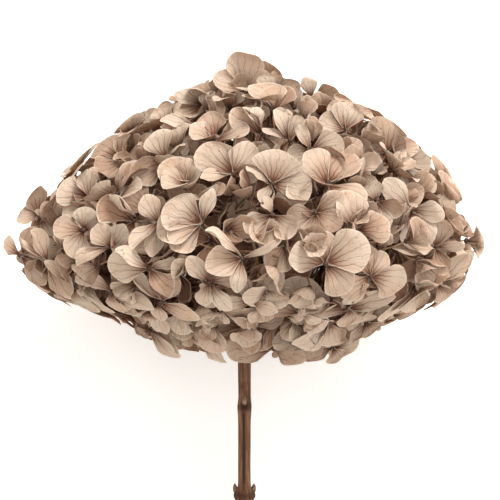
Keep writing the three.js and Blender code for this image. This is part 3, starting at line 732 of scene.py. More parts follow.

# Sepals placed one by one. For each floret: the way each sepal points as seen from above the flower (0 is
# right, 90 is up), how far it leans out of the head, its length, its width as a share of that, how far it
# is rolled edge-on, how deeply it is spooned, and its tone (0 is pale, 1 is brown). The brown tones of
# sepals that lie in shade, such as the first, cupped sepals of 18 and 26, are painted shade.
shownSepals = {
    0: [(88, 6, 18, 0.98, 0, 0, 0.1), (158, 10, 15, 0.8, 25, 0.2, 0.2), (24, 22, 14, 0.9, -20, 0.3, 0.4),
        (200, 25, 14, 0.8, 40, 0.3, 0.6), (104, 32, 9, 1, 0, 0.3, 0.3)],
    1: [(100, 10, 11, 0.9, 20, 0.3, 0.3), (160, 12, 15, 0.7, 70, 0.2, 0), (-10, 10, 16, 0.7, 60, 0.3, 0.5),
        (-70, 5, 15, 0.9, -20, 0.6, 0.6)],
    2: [(150, 10, 14, 0.7, 30, 0.2, 0), (95, 15, 11, 0.9, 0, 0.2, 0.1), (205, 12, 16, 0.8, 10, 0.2, 0.1),
        (-15, 15, 12, 0.8, 20, 0.3, 0.3)],
    3: [(100, 10, 13, 1, 0, 0.2, 0.15), (166, 18, 18, 0.6, 74, 0.1, 0), (35, 10, 13, 0.9, 15, 0.2, 0.1),
        (-60, 5, 12, 0.8, 20, 0.4, 0.4)],
    4: [(102, 10, 10.5, 0.75, 0, 0.1, 0.1), (12, 12, 12, 0.95, 0, 0.5, 0.15),
        (-45, 10, 11.5, 0.95, 10, 0.5, 0.4), (188, 12, 15, 0.7, 15, 0.2, 0.05)],
    5: [(78, 10, 14, 1.1, 0, 0.05, 0), (155, 12, 12, 1.05, 25, 0.1, 0), (-50, 12, 18.5, 0.62, 8, 0.1, 0),
        (-74, 8, 20, 0.6, 0, 0.1, 0)],
    8: [(80, 15, 10, 0.9, 0, 0.2, 0.1), (160, 20, 11, 0.9, 0, 0.2, 0.2), (20, 15, 10, 0.9, 20, 0.2, 0.1),
        (250, 20, 12, 0.9, 0, 0.2, 0.15)],
    9: [(163, 15, 17, 0.5, 35, 0.2, 0), (186, 12, 16, 0.5, 40, 0.2, 0), (216, 6, 18, 0.8, 5, 0.2, 0.15),
        (-38, 4, 13, 0.7, 35, 0.5, 0.6)],
    10: [(116, 18, 17, 0.85, 12, 0.2, 0.05), (205, 15, 17, 0.85, -25, 0.7, 0.6),
        (52, 28, 12, 0.6, 66, 0.2, 0), (-70, 22, 15, 0.75, 45, 0.4, 0.2)],
    14: [(164, 12, 18, 0.8, 5, 0.05, 0), (100, 10, 12, 0.8, 10, 0.2, 0.1), (215, 14, 14, 0.6, 35, 0.3, 0.3),
        (20, 10, 12, 0.6, 60, 0.2, 0.3)],
    15: [(108, 8, 15, 0.95, 0, 0.2, 0.3), (186, 10, 11, 0.9, 20, 0.2, 0.3), (18, 16, 17, 0.6, 30, 0.2, 0.2),
        (-72, 10, 15, 0.9, 0, 0.2, 0.4)],
    16: [(132, 10, 19, 1, -8, 0.25, 0.45), (62, 10, 15, 0.95, 10, 0.2, 0.2),
        (192, 26, 15, 0.6, 60, 0.3, 0.3), (8, 18, 12, 0.8, 20, 0.4, 0.4)],
    17: [(78, 14, 16, 1.35, 0, 0.3, 0.25), (-12, 12, 16.5, 1.2, 0, 0.1, 0.2),
        (145, 18, 13, 0.55, 55, 0.3, 0.1), (238, 28, 10, 0.7, 35, 0.5, 0.3),
        (-92, 34, 14, 0.55, 55, 0.4, 0.1)],
    18: [(128, 2, 18, 0.8, -25, 0.8, 0.85), (119, 20, 18, 0.5, 76, 0.1, 0),
        (104, 16, 16, 0.45, 30, 0.3, 0.05), (-40, 10, 10, 0.7, 40, 0.4, 0.5)],
    19: [(108, 14, 17, 0.5, 25, 0.3, 0.05), (72, 12, 14, 0.6, 30, 0.3, 0.2),
        (150, 22, 13, 0.4, 60, 0.4, 0.2), (-80, 10, 11, 0.8, 20, 0.4, 0.6)],
    20: [(14, 12, 14.5, 1.05, 0, 0.1, 0), (118, 14, 13, 0.5, 25, 0.4, 0.1), (188, 12, 10, 0.8, 0, 0.3, 0.1),
        (-50, 12, 15, 0.6, 35, 0.3, 0.25), (248, 16, 10, 0.9, 0, 0.3, 0.2)],
    21: [(175, 16, 10, 0.8, 35, 0.3, 0), (-58, 8, 14, 0.8, 8, 0.2, 0.1), (30, 12, 11, 0.8, 20, 0.3, 0.3),
        (100, 6, 10, 0.9, 0, 0.3, 0.5)],
    22: [(35, 8, 14, 0.75, 20, 0.4, 0.5), (-25, 2, 12, 0.9, 0, 0.4, 0.7), (188, 4, 12, 0.95, -10, 0.4, 0.6),
        (-95, 0, 12, 1, 0, 0.3, 0.7)],
    23: [(208, 12, 13.5, 0.8, 12, 0.3, 0.2), (-102, 10, 14.5, 0.85, 0, 0.2, 0.25),
        (-42, 12, 12.5, 0.95, 0, 0.25, 0.3), (110, 24, 9, 0.6, 50, 0.3, 0.2)],
    24: [(150, 18, 20, 0.95, -8, 0.1, 0.2), (188, 10, 19, 0.85, 5, 0.2, 0.3),
        (214, 4, 17, 0.9, 0, 0.3, 0.4), (75, 12, 15, 0.5, 15, 0.2, 0.05)],
    25: [(222, 22, 16, 0.5, 30, 0.9, 0.15), (-98, 14, 15, 0.6, 20, 0.2, 0.15),
        (120, 8, 13, 0.8, 20, 0.3, 0.4), (20, 8, 12, 0.8, 40, 0.3, 0.4)],
    26: [(146, 4, 21, 0.68, -28, 0.8, 0.9), (141, 24, 20, 0.45, 76, 0.1, 0),
        (-120, 6, 15, 0.75, 0, 0.5, 0.75), (30, 10, 12, 0.7, 40, 0.3, 0.5)],
    27: [(82, 14, 10, 1.15, 0, 0.3, 0.05), (-112, 12, 13, 0.95, 5, 0.4, 0.2),
        (18, 16, 9, 0.8, 20, 0.4, 0.2), (170, 6, 14, 0.8, 10, 0.5, 0.6)],
    28: [(200, 20, 19, 0.5, 52, 0.2, 0), (60, 16, 12, 0.8, 0, 0.6, 0.15), (-50, 10, 13, 0.8, 0, 0.3, 0.4),
        (130, 10, 12, 0.9, 10, 0.3, 0.3)],
    29: [(84, 2, 17, 1.15, 0, 0.15, 0.35), (150, 4, 13, 0.8, 10, 0.3, 0.3), (215, 4, 12, 0.8, 20, 0.4, 0.6),
        (15, 4, 14, 0.7, 0, 0.3, 0.6)],
    30: [(97, 20, 15, 0.42, 12, 0.2, 0), (0, 18, 13.5, 1, 0, 0.3, 0.05), (-58, 2, 17, 1, 5, 0.4, 0.4),
        (212, 14, 12, 0.6, 66, 0.3, 0.3)],
    33: [(130, 12, 17, 0.65, 10, 0.15, 0), (-2, 14, 16, 0.65, 15, 0.3, 0), (-72, 8, 17, 1, 0, 0.15, 0.1),
        (200, 12, 11, 0.8, 0, 0.2, 0.1)],
    34: [(167, 18, 15, 0.5, 62, 0.1, 0), (-80, 16, 14, 0.75, 0, 0.15, 0), (104, 16, 9, 0.95, 0, 0.1, 0.05),
        (-20, 4, 12, 0.8, 20, 0.3, 0.6)],
    35: [(134, 14, 13, 0.6, 22, 0.2, 0), (86, 14, 10, 0.95, 0, 0.2, 0), (-48, 12, 10, 0.95, 10, 0.2, 0.05),
        (200, 10, 11, 0.7, 20, 0.3, 0.2)],
    36: [(84, 14, 14, 1.05, 0, 0.35, 0.15), (184, 8, 18, 0.45, 45, 0.2, 0.5),
        (4, 12, 13, 0.5, 40, 0.3, 0.3), (-70, 4, 12, 0.8, 10, 0.3, 0.6)],
    38: [(27, 14, 20.5, 1, 0, 0.15, 0.15), (162, 14, 17, 0.85, 0, 0.15, 0.2),
        (-52, 4, 16, 0.95, 0, 0.3, 0.55), (110, 2, 14, 1.1, 0, 0.2, 0.4)],
    39: [(88, 22, 17.5, 1.1, 0, 0.1, 0.2), (163, 12, 16, 0.6, 10, 0.15, 0.3), (30, 2, 14, 0.8, 0, 0.3, 0.5),
        (-30, 10, 12, 0.6, 40, 0.3, 0.3)],
    40: [(136, 30, 21, 0.42, 60, 0.1, 0.1), (196, 18, 15, 0.95, 15, 0.9, 0.2),
        (-98, 18, 15, 0.5, 10, 0.5, 0.1), (20, 20, 16, 0.4, 66, 0.2, 0)],
    41: [(-62, 24, 18, 0.5, 8, 0.3, 0), (132, 20, 14, 0.6, 10, 0.5, 0.1), (20, 16, 14, 0.7, 25, 0.8, 0.2),
        (-110, 10, 12, 0.7, 20, 0.3, 0.4)],
    42: [(42, 16, 17, 0.62, 15, 0.6, 0.3), (120, 16, 12, 0.6, 10, 0.6, 0.1),
        (200, 8, 13, 0.7, 10, 0.4, 0.4), (-30, 6, 13, 0.7, 20, 0.3, 0.5)],
    43: [(116, 16, 13, 0.85, 10, 0.3, 0.05), (22, 10, 17, 0.65, 8, 0.4, 0.35),
        (186, 4, 18, 0.5, 35, 0.3, 0.6), (-80, 0, 12, 0.8, 0, 0.2, 0.7)],
    44: [(184, 14, 20.5, 0.72, 0, 0.05, 0.4), (26, 12, 19, 0.72, 0, 0.1, 0.4),
        (-32, 10, 16, 0.72, 0, 0.1, 0.45), (-10, 24, 9, 0.9, 10, 0.5, 0.4)],
    45: [(200, 20, 17, 0.6, 15, 0.1, 0.2), (32, 14, 16, 0.5, 30, 0.3, 0.2), (-15, 8, 13, 0.7, 0, 0.3, 0.4),
        (-70, 4, 11, 0.9, 0, 0.2, 0.5)],
    46: [(-14, 12, 17, 0.95, 0, 0.2, 0.25), (108, 6, 14, 0.9, 0, 0.3, 0.6), (212, 4, 14, 0.9, 0, 0.3, 0.6),
        (60, 0, 12, 0.8, 0, 0.3, 0.5)],
    47: [(14, 20, 20.5, 0.52, 5, 0.15, 0.15), (192, 14, 17, 0.45, 45, 0.2, 0.1),
        (-70, 4, 12, 0.8, 0, 0.3, 0.6), (110, 4, 12, 0.8, 10, 0.3, 0.5)],
    48: [(34, 14, 13.5, 0.9, 0, 0.3, 0.3), (-38, 14, 13.5, 0.9, 0, 0.2, 0.4),
        (-108, 10, 11.5, 0.9, 0, 0.2, 0.4), (158, 14, 12, 0.9, 0, 0.3, 0.35)],
    49: [(62, 16, 13.5, 0.62, 5, 0.3, 0.15), (150, 8, 11, 0.7, 30, 0.3, 0.4),
        (0, 6, 10, 0.8, 20, 0.3, 0.4)],
    50: [(44, 14, 18.5, 0.48, 10, 0.3, 0.15), (130, 20, 15, 0.4, 62, 0.3, 0.1),
        (-60, 6, 11, 0.8, 0, 0.3, 0.4), (172, 18, 18, 0.4, 62, 0.3, 0.05)],
    51: [(-16, 10, 16, 0.85, 0, 0.2, 0.3), (-62, 12, 12, 0.9, 0, 0.2, 0.35),
        (200, 10, 13, 0.8, 10, 0.3, 0.3), (80, 14, 12, 0.8, 15, 0.3, 0.2)],
    52: [(172, 12, 17, 0.95, 0, 0.2, 0.2), (148, 26, 17, 0.5, 42, 0.1, 0), (-58, 8, 15, 0.8, -15, 0.9, 0.8),
        (20, 12, 12, 0.6, 45, 0.3, 0.4)],
    53: [(138, 26, 20, 0.35, 50, 0.1, 0), (-30, 8, 17, 0.6, 10, 0.3, 0.4), (60, 6, 13, 0.8, 0, 0.5, 0.8),
        (-110, 6, 12, 0.7, 30, 0.3, 0.5)],
    54: [(-24, 20, 19, 0.5, 8, 0.3, 0.2), (150, 12, 15, 0.5, 35, 0.2, 0.4), (60, 8, 12, 0.8, 0, 0.4, 0.5),
        (-100, 6, 12, 0.7, 20, 0.3, 0.6)],
    55: [(-44, 20, 19, 0.42, 25, 0.2, 0.15), (-80, 14, 15, 0.85, 0, 0.2, 0.4),
        (140, 14, 16, 0.5, 40, 0.2, 0.3), (50, 8, 12, 0.8, 0, 0.3, 0.6)],
    56: [(-58, 12, 19, 0.6, 10, 0.1, 0.4), (145, 14, 20, 0.3, 60, 0.1, 0.3),
        (110, 10, 15, 0.6, 30, 0.3, 0.4), (20, 10, 14, 0.6, 20, 0.3, 0.3)],
    57: [(-48, 12, 17, 0.55, 25, 0.2, 0.1), (150, 14, 14, 0.7, 20, 0.3, 0.4),
        (-20, 18, 16, 0.5, 45, 0.2, 0.05), (60, 8, 13, 0.8, 0, 0.3, 0.6)],
    58: [(120, 12, 14, 0.8, 15, 0.3, 0.3), (-42, 16, 19, 0.45, 40, 0.2, 0.1),
        (175, 8, 12, 0.8, 0, 0.3, 0.4), (20, 12, 15, 0.7, 20, 0.3, 0.3)],
    59: [(-52, 8, 19, 0.6, 20, 0.2, 0.3), (136, 8, 10, 0.5, 30, 0.2, 0.3), (-38, 16, 17, 0.4, 60, 0.2, 0),
        (214, 8, 10, 0.75, 0, 0.2, 0.3), (60, 6, 10, 0.8, 0, 0.3, 0.5)],
    60: [(175, 14, 14, 0.7, 10, 0.3, 0.3), (15, 12, 14, 0.9, 0, 0.2, 0.3), (-60, 8, 12, 0.8, 0, 0.2, 0.4),
        (100, 6, 12, 0.8, 0, 0.3, 0.6)],
    61: [(168, 12, 15, 0.6, 20, 0.3, 0.4), (-5, 12, 15, 0.7, 10, 0.2, 0.35),
        (205, 6, 14, 0.45, 45, 0.2, 0.3), (70, 8, 12, 0.8, 0, 0.3, 0.6)],
}


def outlineRadius(way):
    lift = math.degrees(math.asin(max(-1, min(1, way.z))))
    n = next(k for k in range(1, len(sepal["outline"])) if lift <= sepal["outline"][k][0])
    (low, near), (high, far) = sepal["outline"][n - 1:n + 1]
    return domeRadius(way) + near + (far - near) * (lift - low) / (high - low)


# Crowded sepals press against each other, so few stand out beyond the head's outline.
def heldIn(p, free):
    limit = outlineRadius(p.normalized()) + free
    beyond = p.length - limit
    return p * ((limit + sepal["give"] * beyond) / p.length) if beyond > 0 else p


def eyeHeldIn(eye, free):
    limit = outlineRadius(eye.normalized()) + free - sepal["eyeInside"]
    return eye * min(1, limit / eye.length)


# A flat sepal blank, a disc mapped from a square grid; every sepal is a shaped copy of one.
def sepalBlank(cuts):
    bm = bmesh.new()
    flat = bm.verts.layers.float_vector.new("flat")
    bmesh.ops.create_grid(bm, x_segments=cuts, y_segments=cuts, size=1)
    bmesh.ops.solidify(bm, geom=bm.faces[:], thickness=0.1)
    bmesh.ops.recalc_face_normals(bm, faces=bm.faces)
    level = max(v.co.z for v in bm.verts) - 0.05
    for v in bm.verts:
        x, y = v.co.x, v.co.y
        under = float(v.co.z < level)
        v[flat] = Vector((x * math.sqrt(1 - y * y / 2), y * math.sqrt(1 - x * x / 2), under))
    for face in bm.faces:
        face.smooth = True
        face.material_index = 1 if face.normal.z < -0.5 else 0
    for edge in bm.edges:
        edge.smooth = edge.calc_face_angle() < 1
    mesh = bpy.data.meshes.new(f"sepalBlank{cuts}")
    bm.to_mesh(mesh)
    bm.free()
    return mesh


sepalBlanks = {cuts: sepalBlank(cuts) for cuts in (4, 5, 6)}


# What one sepal is like: its draws, and the line from its foot to its tip as (forth, high, angle).
def sepalShape(item, extra):
    draw = {name: pick(sepal[name], item, question) for name, question in sepalQuestions.items()}
    draw.update(extra)
    steps = sepal["profileSteps"]
    line = [(0.0, 0.0, 0.0)]
    for n in range(steps):
        a = (n + 0.5) / steps
        angle = math.radians(draw["bend"]) * (a - 0.25) + math.radians(draw["tipCurl"]) * a ** 4
        forth, high, before = line[-1]
        line.append((forth + math.cos(angle) / steps, high + math.sin(angle) / steps, angle))
    draw["line"] = line
    draw["waves"] = 3 + int(4 * chance(item, 31))
    draw["seed"] = chance(item, 32)
    return draw


# How high a spot stands over the sepal's middle line, of its length. It is s across and t along the blank,
# a is how far it is from foot to tip, r how far from the middle to the rim, and u how far to the side.
def raisedBy(draw, s, t, a, r, u):
    width, seed = draw["width"], draw["seed"]
    wave = math.sin(draw["waves"] * math.atan2(s, t) + 6.28 * seed)
    crumpleAt = Vector((s * sepal["crumples"] + 40 * seed, t * sepal["crumples"], 9 * seed))
    raised = draw["spoon"] * u * u * width * sepal["spoonDepth"] + draw["fold"] * abs(u * width / 2)
    raised += draw["ruffle"] * r ** 3 * wave * (0.3 + a)
    raised += draw["rimCurl"] * max(0, (r - sepal["rimFrom"]) / (1 - sepal["rimFrom"])) ** 2
    raised += draw["crumple"] * noise.noise(crumpleAt) * (0.2 + 0.8 * a)
    return raised


def addSepal(bm, layers, cell, mood, foot, out, normal, item, reach, extra):
    side = out.cross(normal)
    length = reach - sepal["rootGap"]
    draw = sepalShape(item, extra)
    width, line = draw["width"], draw["line"]
    steps = len(line) - 1
    middle, lost = sepal["thinning"]
    clear = pick(sepal["clearance"], item, 30)
    blank = sepalBlanks[draw.get("cuts", sepal["cuts"])]
    bm.from_mesh(blank)
    bm.verts.ensure_lookup_table()
    bm.faces.ensure_lookup_table()
    for v in bm.verts[len(bm.verts) - len(blank.vertices):]:
        s, t, under = v[layers["flat"]]
        a = (t + 1) / 2
        r = math.hypot(s, t)
        opened = smoothStep(0, sepal["widestFrom"], a)
        u = s * (sepal["foot"] + (1 - sepal["foot"]) * opened)
        half = u * width / 2
        a += draw["point"] * max(0, a - sepal["rimFrom"]) * (1 - abs(s))
        n = min(int(a * steps), steps - 1)
        between = a * steps - n
        forth, high, angle = (x + (y - x) * between for x, y in zip(line[n], line[n + 1]))
        raised = raisedBy(draw, s, t, a, r, u)
        raised -= under * sepal["thickness"] * (middle - lost * r) / length
        turned = math.radians(draw["twist"]) * a
        sideways = half * math.cos(turned) - raised * math.sin(turned)
        raised = raised * math.cos(turned) + half * math.sin(turned)
        p = foot + out * (sepal["rootGap"] + length * forth) + normal * (length * high)
        p = p + (normal * math.cos(angle) - out * math.sin(angle)) * (length * raised)
        p = heldIn(p + side * (length * sideways), draw.get("free", 0))
        low = clear + (1 - under) * surfaceGap
        v.co = p + surfaceUp * max(0, low - heightOver(p))
        v[layers["place"]] = Vector((half, a, r))
        v[layers["mood"]] = Vector((mood, draw["seed"], 0))
    for face in bm.faces[len(bm.faces) - len(blank.polygons):]:
        corner = cell + face.material_index
        column, row = corner % mapCells, corner // mapCells
        grown = mapReach[face.material_index]
        for loop in face.loops:
            s, t, under = loop.vert[layers["flat"]]
            loop[layers["map"]].uv = (
                (column + 0.5 + grown * s) / mapCells, (row + 0.5 + grown * t) / mapCells,
            )


def addShownFloret(bm, layers, cell, floret, item):
    # the shown side of the head is -Y
    for n, (turn, lean, reach, width, roll, spoon, tone) in enumerate(shownSepals[item - 1]):
        own = 8 * item + n
        turn, lean, roll = math.radians(turn), math.radians(lean), math.radians(roll)
        out = Vector((
            math.cos(turn) * math.cos(lean), -math.sin(lean), math.sin(turn) * math.cos(lean),
        ))
        normal = Matrix.Rotation(roll, 3, out) @ (Vector((0, -1, 0)) - out * math.sin(lean)).normalized()
        foot = floret["eye"] + Vector((0, -shownSepal["pairStep"] * (n % 2), 0))
        # the table's tone is painted shade on sepals that lie in shade
        mood = tone + shownSepal["toneSpread"] * (chance(own, 15) - 0.5)
        extra = {
            name: pick(shownSepal[name], own, sepalQuestions[name])
            for name in ("fold", "bend", "tipCurl", "twist")
        }
        extra["width"], extra["spoon"] = width, spoon
        extra["free"] = shownSepal["crownFree" if item == 1 else "free"]
        addSepal(bm, layers, cell, mood, foot, out, normal, own, reach, extra)
        cell += 2
    return cell


def addFloret(bm, layers, cell, floret, item):
    if item - 1 in shownSepals:
        return addShownFloret(bm, layers, cell, floret, item)
    count = 4
    if not floret["shown"]:
        draw = chance(item, 10)
        count = 5 if draw > manySepals else 3 if draw < fewSepals else 4
    betweenFlorets, betweenSepals = sepal["toneSpread"]
    # an inner floret adds its layer's tone, which is painted shade
    floretTone = betweenFlorets * chance(item, 11) + sepal["toneStart"] + floret.get("tone", 0)
    facing = floret["facing"]
    right = Vector((0, 0, 1)).cross(facing).normalized()
    up = facing.cross(right)
    for n in range(count):
        own = 8 * item + n
        turn = floret["spin"] + 360 * n / count + sepal["turnSpread"] * (chance(own, 12) - 0.5)
        turn = math.radians(turn)
        reach = floret["reach"] * floret.get("growth", sepal["growth"]) * pick(sepal["unevenness"], own, 13)
        cup = floret["cup"] + sepal["cupLift"] + sepal["cupSpread"] * (chance(own, 14) - 0.5)
        cup = math.radians(cup + sepal["pairLift"] * (n % 2))
        flat = right * math.cos(turn) + up * math.sin(turn)
        out = flat * math.cos(cup) + facing * math.sin(cup)
        normal = facing * math.cos(cup) - flat * math.sin(cup)
        foot = floret["eye"] + facing * (sepal["pairStep"] * (n % 2))
        mood = floretTone + betweenSepals * chance(own, 15)
        addSepal(bm, layers, cell, mood, foot, out, normal, own, reach, {
            "cuts": floret.get("cuts", sepal["cuts"]),
        })
        cell += 2
    return cell


clusterFlorets = [[] for own in centres]
for n, floret in enumerate(florets + inner):
    free = 0
    if n in shownSepals:
        floret["eye"] = floret["eye"] + Vector((0, -shownSepal["forward"], 0))
        free = shownSepal["free"]
    floret["eye"] = eyeHeldIn(floret["eye"], free)
    clusterFlorets[floret["cluster"]].append((n, floret))

sepalCount = 0
for cluster, members in enumerate(clusterFlorets):
    bm = bmesh.new()
    layers = {
        "flat": bm.verts.layers.float_vector.new("flat"),
        "place": bm.verts.layers.float_vector.new("sepalPlace"),
        "mood": bm.verts.layers.float_vector.new("sepalMood"),
        "map": bm.loops.layers.uv.new("OFBake"),
    }
    cell = 0
    for n, floret in members:
        cell = addFloret(bm, layers, cell, floret, n + 1)
    sepalCount += cell // 2
    if cell > mapCells * (mapCells - 2):
        raise ValueError("a cluster has more sepals than its colour map has room for")

    bm.verts.layers.float_vector.remove(layers["flat"])
    newPiece(
        f"sepals_{cluster + 1:02d}", bm, [driedSepalFace, driedSepalBack],
        replaced=[f"floret_cluster_{cluster + 1:02d}"],
    )

    bm = bmesh.new()
    hub = hubs[cluster]
    steps = pedicel["steps"]
    radii = [
        pedicel["radius"] * (pedicel["footSwell"] - pedicel["thinning"] * k / steps)
        for k in range(steps + 1)
    ]
    for n, floret in members:
        eye, facing = floret["eye"], floret["facing"]
        squashed = Matrix.Diagonal((1, 1, eyeShape["squash"], 1))
        eyePlace = facingAlong(eye + facing * eyeShape["lift"], facing) @ squashed
        addBall(bm, pick(eyeShape["radius"], n + 1, 16), 1, eyePlace, 1)
        path = curvedPath(hub, domeNormal(centres[cluster]), eye, facing, steps)
        growStalk(bm, path, radii, pedicel["sides"])
    addBall(bm, pedicel["knot"], 2, Matrix.Translation(hub), 0)
    for v in bm.verts:
        v.co += surfaceUp * max(0, surfaceGap - heightOver(v.co))
    newPiece(f"pedicels_{cluster + 1:02d}", bm, [rayBark, driedEye])
print("florets made:", len(florets) + len(inner), "with", sepalCount, "sepals")


ray = {
    "levels": [(-25, 0, 5), (-15, 90, 8), (-5, 45, 12), (5, 135, 18)],  # height, turn, height of the fork
    "reach": 44,
    "topFork": 34,
    "rise": 0.9,  # how steeply a ray leaves the stem
    "sunk": 0.6,  # how far its foot is inside the stem
    "radius": 1.5,
    "footSwell": 1.25,
    "thinning": 0.02,  # at each step
    "sides": 9,
    "steps": 8,
}
branch = {
    "radius": 0.95, "footSwell": 1.15, "thinning": 0.045, "sides": 6, "steps": 7,
    "sunk": 1.5, "hubSunk": 0.6,  # how far its ends are inside the ray and the hub
}
rays = []
for level, (height, turn, forkHeight) in enumerate(ray["levels"]):
    for side in (0, 1):
        way = math.radians(turn + 180 * side)
        out = Vector((math.cos(way), math.sin(way), 0))
        start = out * (stem["rachisRadius"] - ray["sunk"]) + Vector((0, 0, height))
        fork = out * ray["reach"] + Vector((0, 0, forkHeight))
        startWay = (out + Vector((0, 0, ray["rise"]))).normalized()
        rays.append((f"ray_{2 * level + side + 1}", start, fork, startWay))
rays.append((
    "ray_top", Vector((0, 0, stem["rachisTop"] - 1)), Vector((0, 0, ray["topFork"])), Vector((0, 0, 1)),
))
rayOfHub = [nearest(hub, [r[2] for r in rays]) for hub in hubs]
rayRadii = [
    ray["radius"] * (ray["footSwell"] if k == 0 else 1.0 - ray["thinning"] * k)
    for k in range(ray["steps"] + 1)
]
branchRadii = [
    branch["radius"] * (branch["footSwell"] - branch["thinning"] * k) for k in range(branch["steps"] + 1)
]
for number, (name, start, fork, startWay) in enumerate(rays):
    bm = bmesh.new()
    onward = (fork - start).normalized()
    growStalk(bm, curvedPath(start, startWay, fork, onward, ray["steps"]), rayRadii, ray["sides"])
    for cluster, hub in enumerate(hubs):
        if rayOfHub[cluster] != number:
            continue
        inward = domeNormal(centres[cluster])
        forkPoint, hubPoint = fork - onward * branch["sunk"], hub - inward * branch["hubSunk"]
        path = curvedPath(forkPoint, onward, hubPoint, inward, branch["steps"])
        growStalk(bm, path, branchRadii, branch["sides"])
    newPiece(name + "_bark", bm, [rayBark], replaced=[name])
print("rays made:", len(rays))


# The stem's radius with its leaf nodes, which end sharply above and run out slowly below.
def stemRadiusAt(z, angle):
    radius = stem["radius"] + (stem["rachisRadius"] - stem["radius"]) * smoothStep(*stem["thickens"], z)
    radius *= 1 - 0.35 * smoothStep(stem["rachisTop"] - 3, stem["rachisTop"], z)
    for height, swell, turn in stem["leafNodes"]:
        away = (z - height) / (stem["nodeLength"] / 2)
        leafSide = abs(math.cos(angle - math.radians(turn)))
        bulge = math.exp(-away * away * (4.5 if z > height else 0.8))
        radius += (swell + stem["nodeSwell"]) * bulge * (0.72 + 0.28 * leafSide ** 3)
    sway = 2.2 * noise.noise(Vector((0, 0, z * 0.03)))
    radius += stem["ridgeDepth"] * math.sin(stem["ridges"] * angle + sway)
    uneven = noise.noise(Vector((math.cos(angle) * 1.2, math.sin(angle) * 1.2, z * 0.07)))
    return radius + stem["gnarl"] * uneven


# On both sides of a leaf node: a shield-shaped leaf scar, a furrow down from it, and a dark ring.
def stemMarks(z, angle):
    scar = furrow = stained = 0.0
    for height, swell, turn in stem["leafNodes"]:
        for side in (0, 180):
            apart = math.radians(turn + side) - angle
            apart = math.atan2(math.sin(apart), math.cos(apart))
            across = apart * stem["radius"]
            below = height - z
            wide = stem["scarSize"] - 0.25 * max(0, below)
            shield = 1 - smoothStep(0.6 * wide, max(wide, 0.1), abs(across))
            scar = max(scar, shield * (1 - smoothStep(1.3, 2.0, abs(below))))
            long = smoothStep(1.0, 3.0, below) * (1 - smoothStep(30, 42, below))
            furrow = max(furrow, long * (1 - smoothStep(0.35, 1.1, abs(across - 0.3))))
            stained = max(stained, 1 - smoothStep(0.6, 2.4, abs(0.6 - below)))
    return scar, furrow, stained


bm = bmesh.new()
marks = bm.verts.layers.float_vector.new("barkMarks")
lowEnd = -stem["belowGirth"] - 5  # below the slanting cut, which takes the rest off
ring = bmesh.ops.create_circle(
    bm, segments=stem["sides"], radius=1, matrix=Matrix.Translation((0, 0, lowEnd)),
)["verts"]
ringEdges = list({e for v in ring for e in v.link_edges})
step = (stem["rachisTop"] - lowEnd) / stem["rings"]
swept = bmesh.ops.spin(
    bm, geom=ringEdges, cent=(0, 0, 0), axis=(0, 0, 1), dvec=(0, 0, step), angle=0, steps=stem["rings"],
)
top = [g for g in swept["geom_last"] if isinstance(g, bmesh.types.BMEdge)]
bmesh.ops.contextual_create(bm, geom=top)
for v in bm.verts:
    angle = math.atan2(v.co.y, v.co.x)
    scar, furrow, stained = stemMarks(v.co.z, angle)
    radius = stemRadiusAt(v.co.z, angle) - stem["furrowDepth"] * furrow + stem["scarRelief"] * scar
    v[marks] = Vector((0.9 * scar, max(0.9 * furrow, 0.6 * stained), 0))
    v.co = Vector((math.cos(angle) * radius, math.sin(angle) * radius, v.co.z))
slant = math.radians(stem["cutSlant"])
cut = bmesh.ops.bisect_plane(
    bm, geom=bm.verts[:] + bm.edges[:] + bm.faces[:], clear_outer=True,
    plane_co=Vector((0, stem["radius"], -stem["belowGirth"])),
    plane_no=Vector((0, -math.sin(slant), -math.cos(slant))),
)["geom_cut"]
rimEdges = [g for g in cut if isinstance(g, bmesh.types.BMEdge)]
cutFaces = bmesh.ops.contextual_create(bm, geom=rimEdges)["faces"]
bmesh.ops.recalc_face_normals(bm, faces=bm.faces)
for face in bm.faces:
    face.smooth = True
for face in cutFaces:
    face.smooth = False
bmesh.ops.inset_region(bm, faces=cutFaces, thickness=stem["barkThickness"])
for face in cutFaces:
    face.material_index = 1
    face.smooth = False
bmesh.ops.inset_region(bm, faces=cutFaces, thickness=stem["woodWidth"], depth=-stem["pithDepth"])
for face in cutFaces:
    face.material_index = 2
newPiece("stem_bark", bm, [stemBark, cutWood, stemPith], replaced=["stem"])
print("stem made")


bud = {"length": 4.2, "radius": 1.05, "lean": 6, "outside": 0.3, "above": 0.5, "sides": 12, "steps": 8}
number = 0
for height, swell, turn in stem["leafNodes"][:2]:
    for side in (0, 1):
        number += 1
        way = math.radians(turn + 180 * side)
        out = Vector((math.cos(way), math.sin(way), 0))
        lean = math.radians(bud["lean"])
        along = out * math.sin(lean) + Vector((0, 0, math.cos(lean)))
        foot = out * (stem["radius"] + swell * 0.5 + bud["outside"]) + Vector((0, 0, height + bud["above"]))
        bm = bmesh.new()
        points, radii = [], []
        for k in range(bud["steps"] + 1):
            t = k / bud["steps"]
            points.append(foot + along * (bud["length"] * t))
            # fullest a little below the middle, and pointed
            radii.append(bud["radius"] * max(math.sin(math.pi * (0.16 + 0.82 * t)) ** 0.8, 0.08))
        growStalk(bm, points, radii, bud["sides"])
        newPiece(f"bud_{number}_scales", bm, [budScale], replaced=[f"bud_{number}"])
print("buds made:", number)


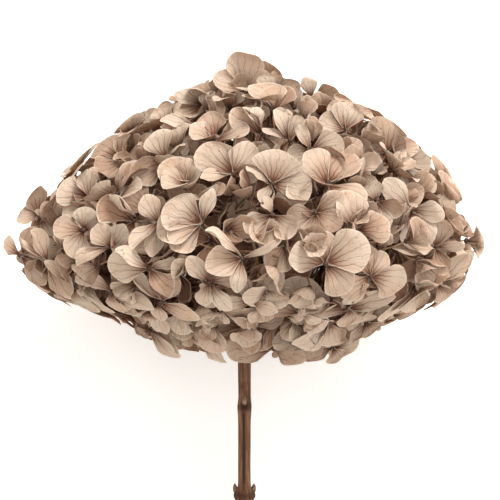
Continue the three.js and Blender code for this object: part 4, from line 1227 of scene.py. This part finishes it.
# Matt white paper, lit a little from within so that it stays white under the flower. Lights stand a way
# off (to the right, along the stem, towards the camera), and sizes and distances are in metres.
studio = {
    "floorColour": "F4F2EF",
    "floorGlow": 0.34,
    "floorSize": 3,
    "worldColour": "FFFAF4",
    "worldStrength": 0.77,
    "lights": {
        "keyLight": {"way": (0.42, 0.9, 0.55), "power": 33, "size": 0.8, "distance": 1.6},
        "fillLight": {"way": (0.2, -0.1, 0.9), "power": 8, "size": 1.2, "distance": 1.4},
    },
    "viewWidth": 0.215,
    "lens": 240,  # mm
    "right": 0.0024,
}
bm = bmesh.new()
bmesh.ops.create_grid(bm, x_segments=1, y_segments=1, size=studio["floorSize"])
floorMesh = bpy.data.meshes.new("floor")
bm.to_mesh(floorMesh)
bm.free()
floor = bpy.data.objects.new("floor", floorMesh)
bpy.context.scene.collection.objects.link(floor)
floorPaper, tree = newMaterial("matteStudioPaper")
paper = addNode(tree, "BsdfPrincipled", {
    "Base Color": linear(studio["floorColour"]), "Roughness": 0.9,
    "Emission Color": (1, 1, 1, 1), "Emission Strength": studio["floorGlow"],
})
addNode(tree, "OutputMaterial", {"Surface": paper})
floorMesh.materials.append(floorPaper)

world = bpy.data.worlds.new("studio")
bpy.context.scene.world = world
world.use_nodes = True
background = world.node_tree.nodes["Background"]
background.inputs[0].default_value = linear(studio["worldColour"])
background.inputs[1].default_value = studio["worldStrength"]

axisWay = Vector((0, math.cos(slope), math.sin(slope)))
cameraWay = Vector((0, -math.sin(slope), math.cos(slope)))
for name, light in studio["lights"].items():
    right, along, forward = light["way"]
    way = axisWay * along + cameraWay * forward + Vector((right, 0, 0))
    lamp = bpy.data.lights.new(name, "AREA")
    lamp.energy = light["power"]
    lamp.shape = "DISK"
    lamp.size = light["size"]
    placed = bpy.data.objects.new(name, lamp)
    placed.location = girthCentre + way.normalized() * light["distance"]
    placed.rotation_euler = way.to_track_quat("Z", "Y").to_euler()
    bpy.context.scene.collection.objects.link(placed)

lens = bpy.data.cameras.new("camera")
lens.lens = studio["lens"]
camera = bpy.data.objects.new("camera", lens)
distance = studio["lens"] / lens.sensor_width * studio["viewWidth"]
camera.location = girthCentre + Vector((studio["right"], 0, 0)) + cameraWay * distance
camera.rotation_euler = (slope, 0, 0)
lens.clip_start, lens.clip_end = 0.05, 20
bpy.context.scene.collection.objects.link(camera)
bpy.context.scene.camera = camera
bpy.context.scene.view_settings.view_transform = "Standard"
print("stage set")

bpy.context.view_layer.update()
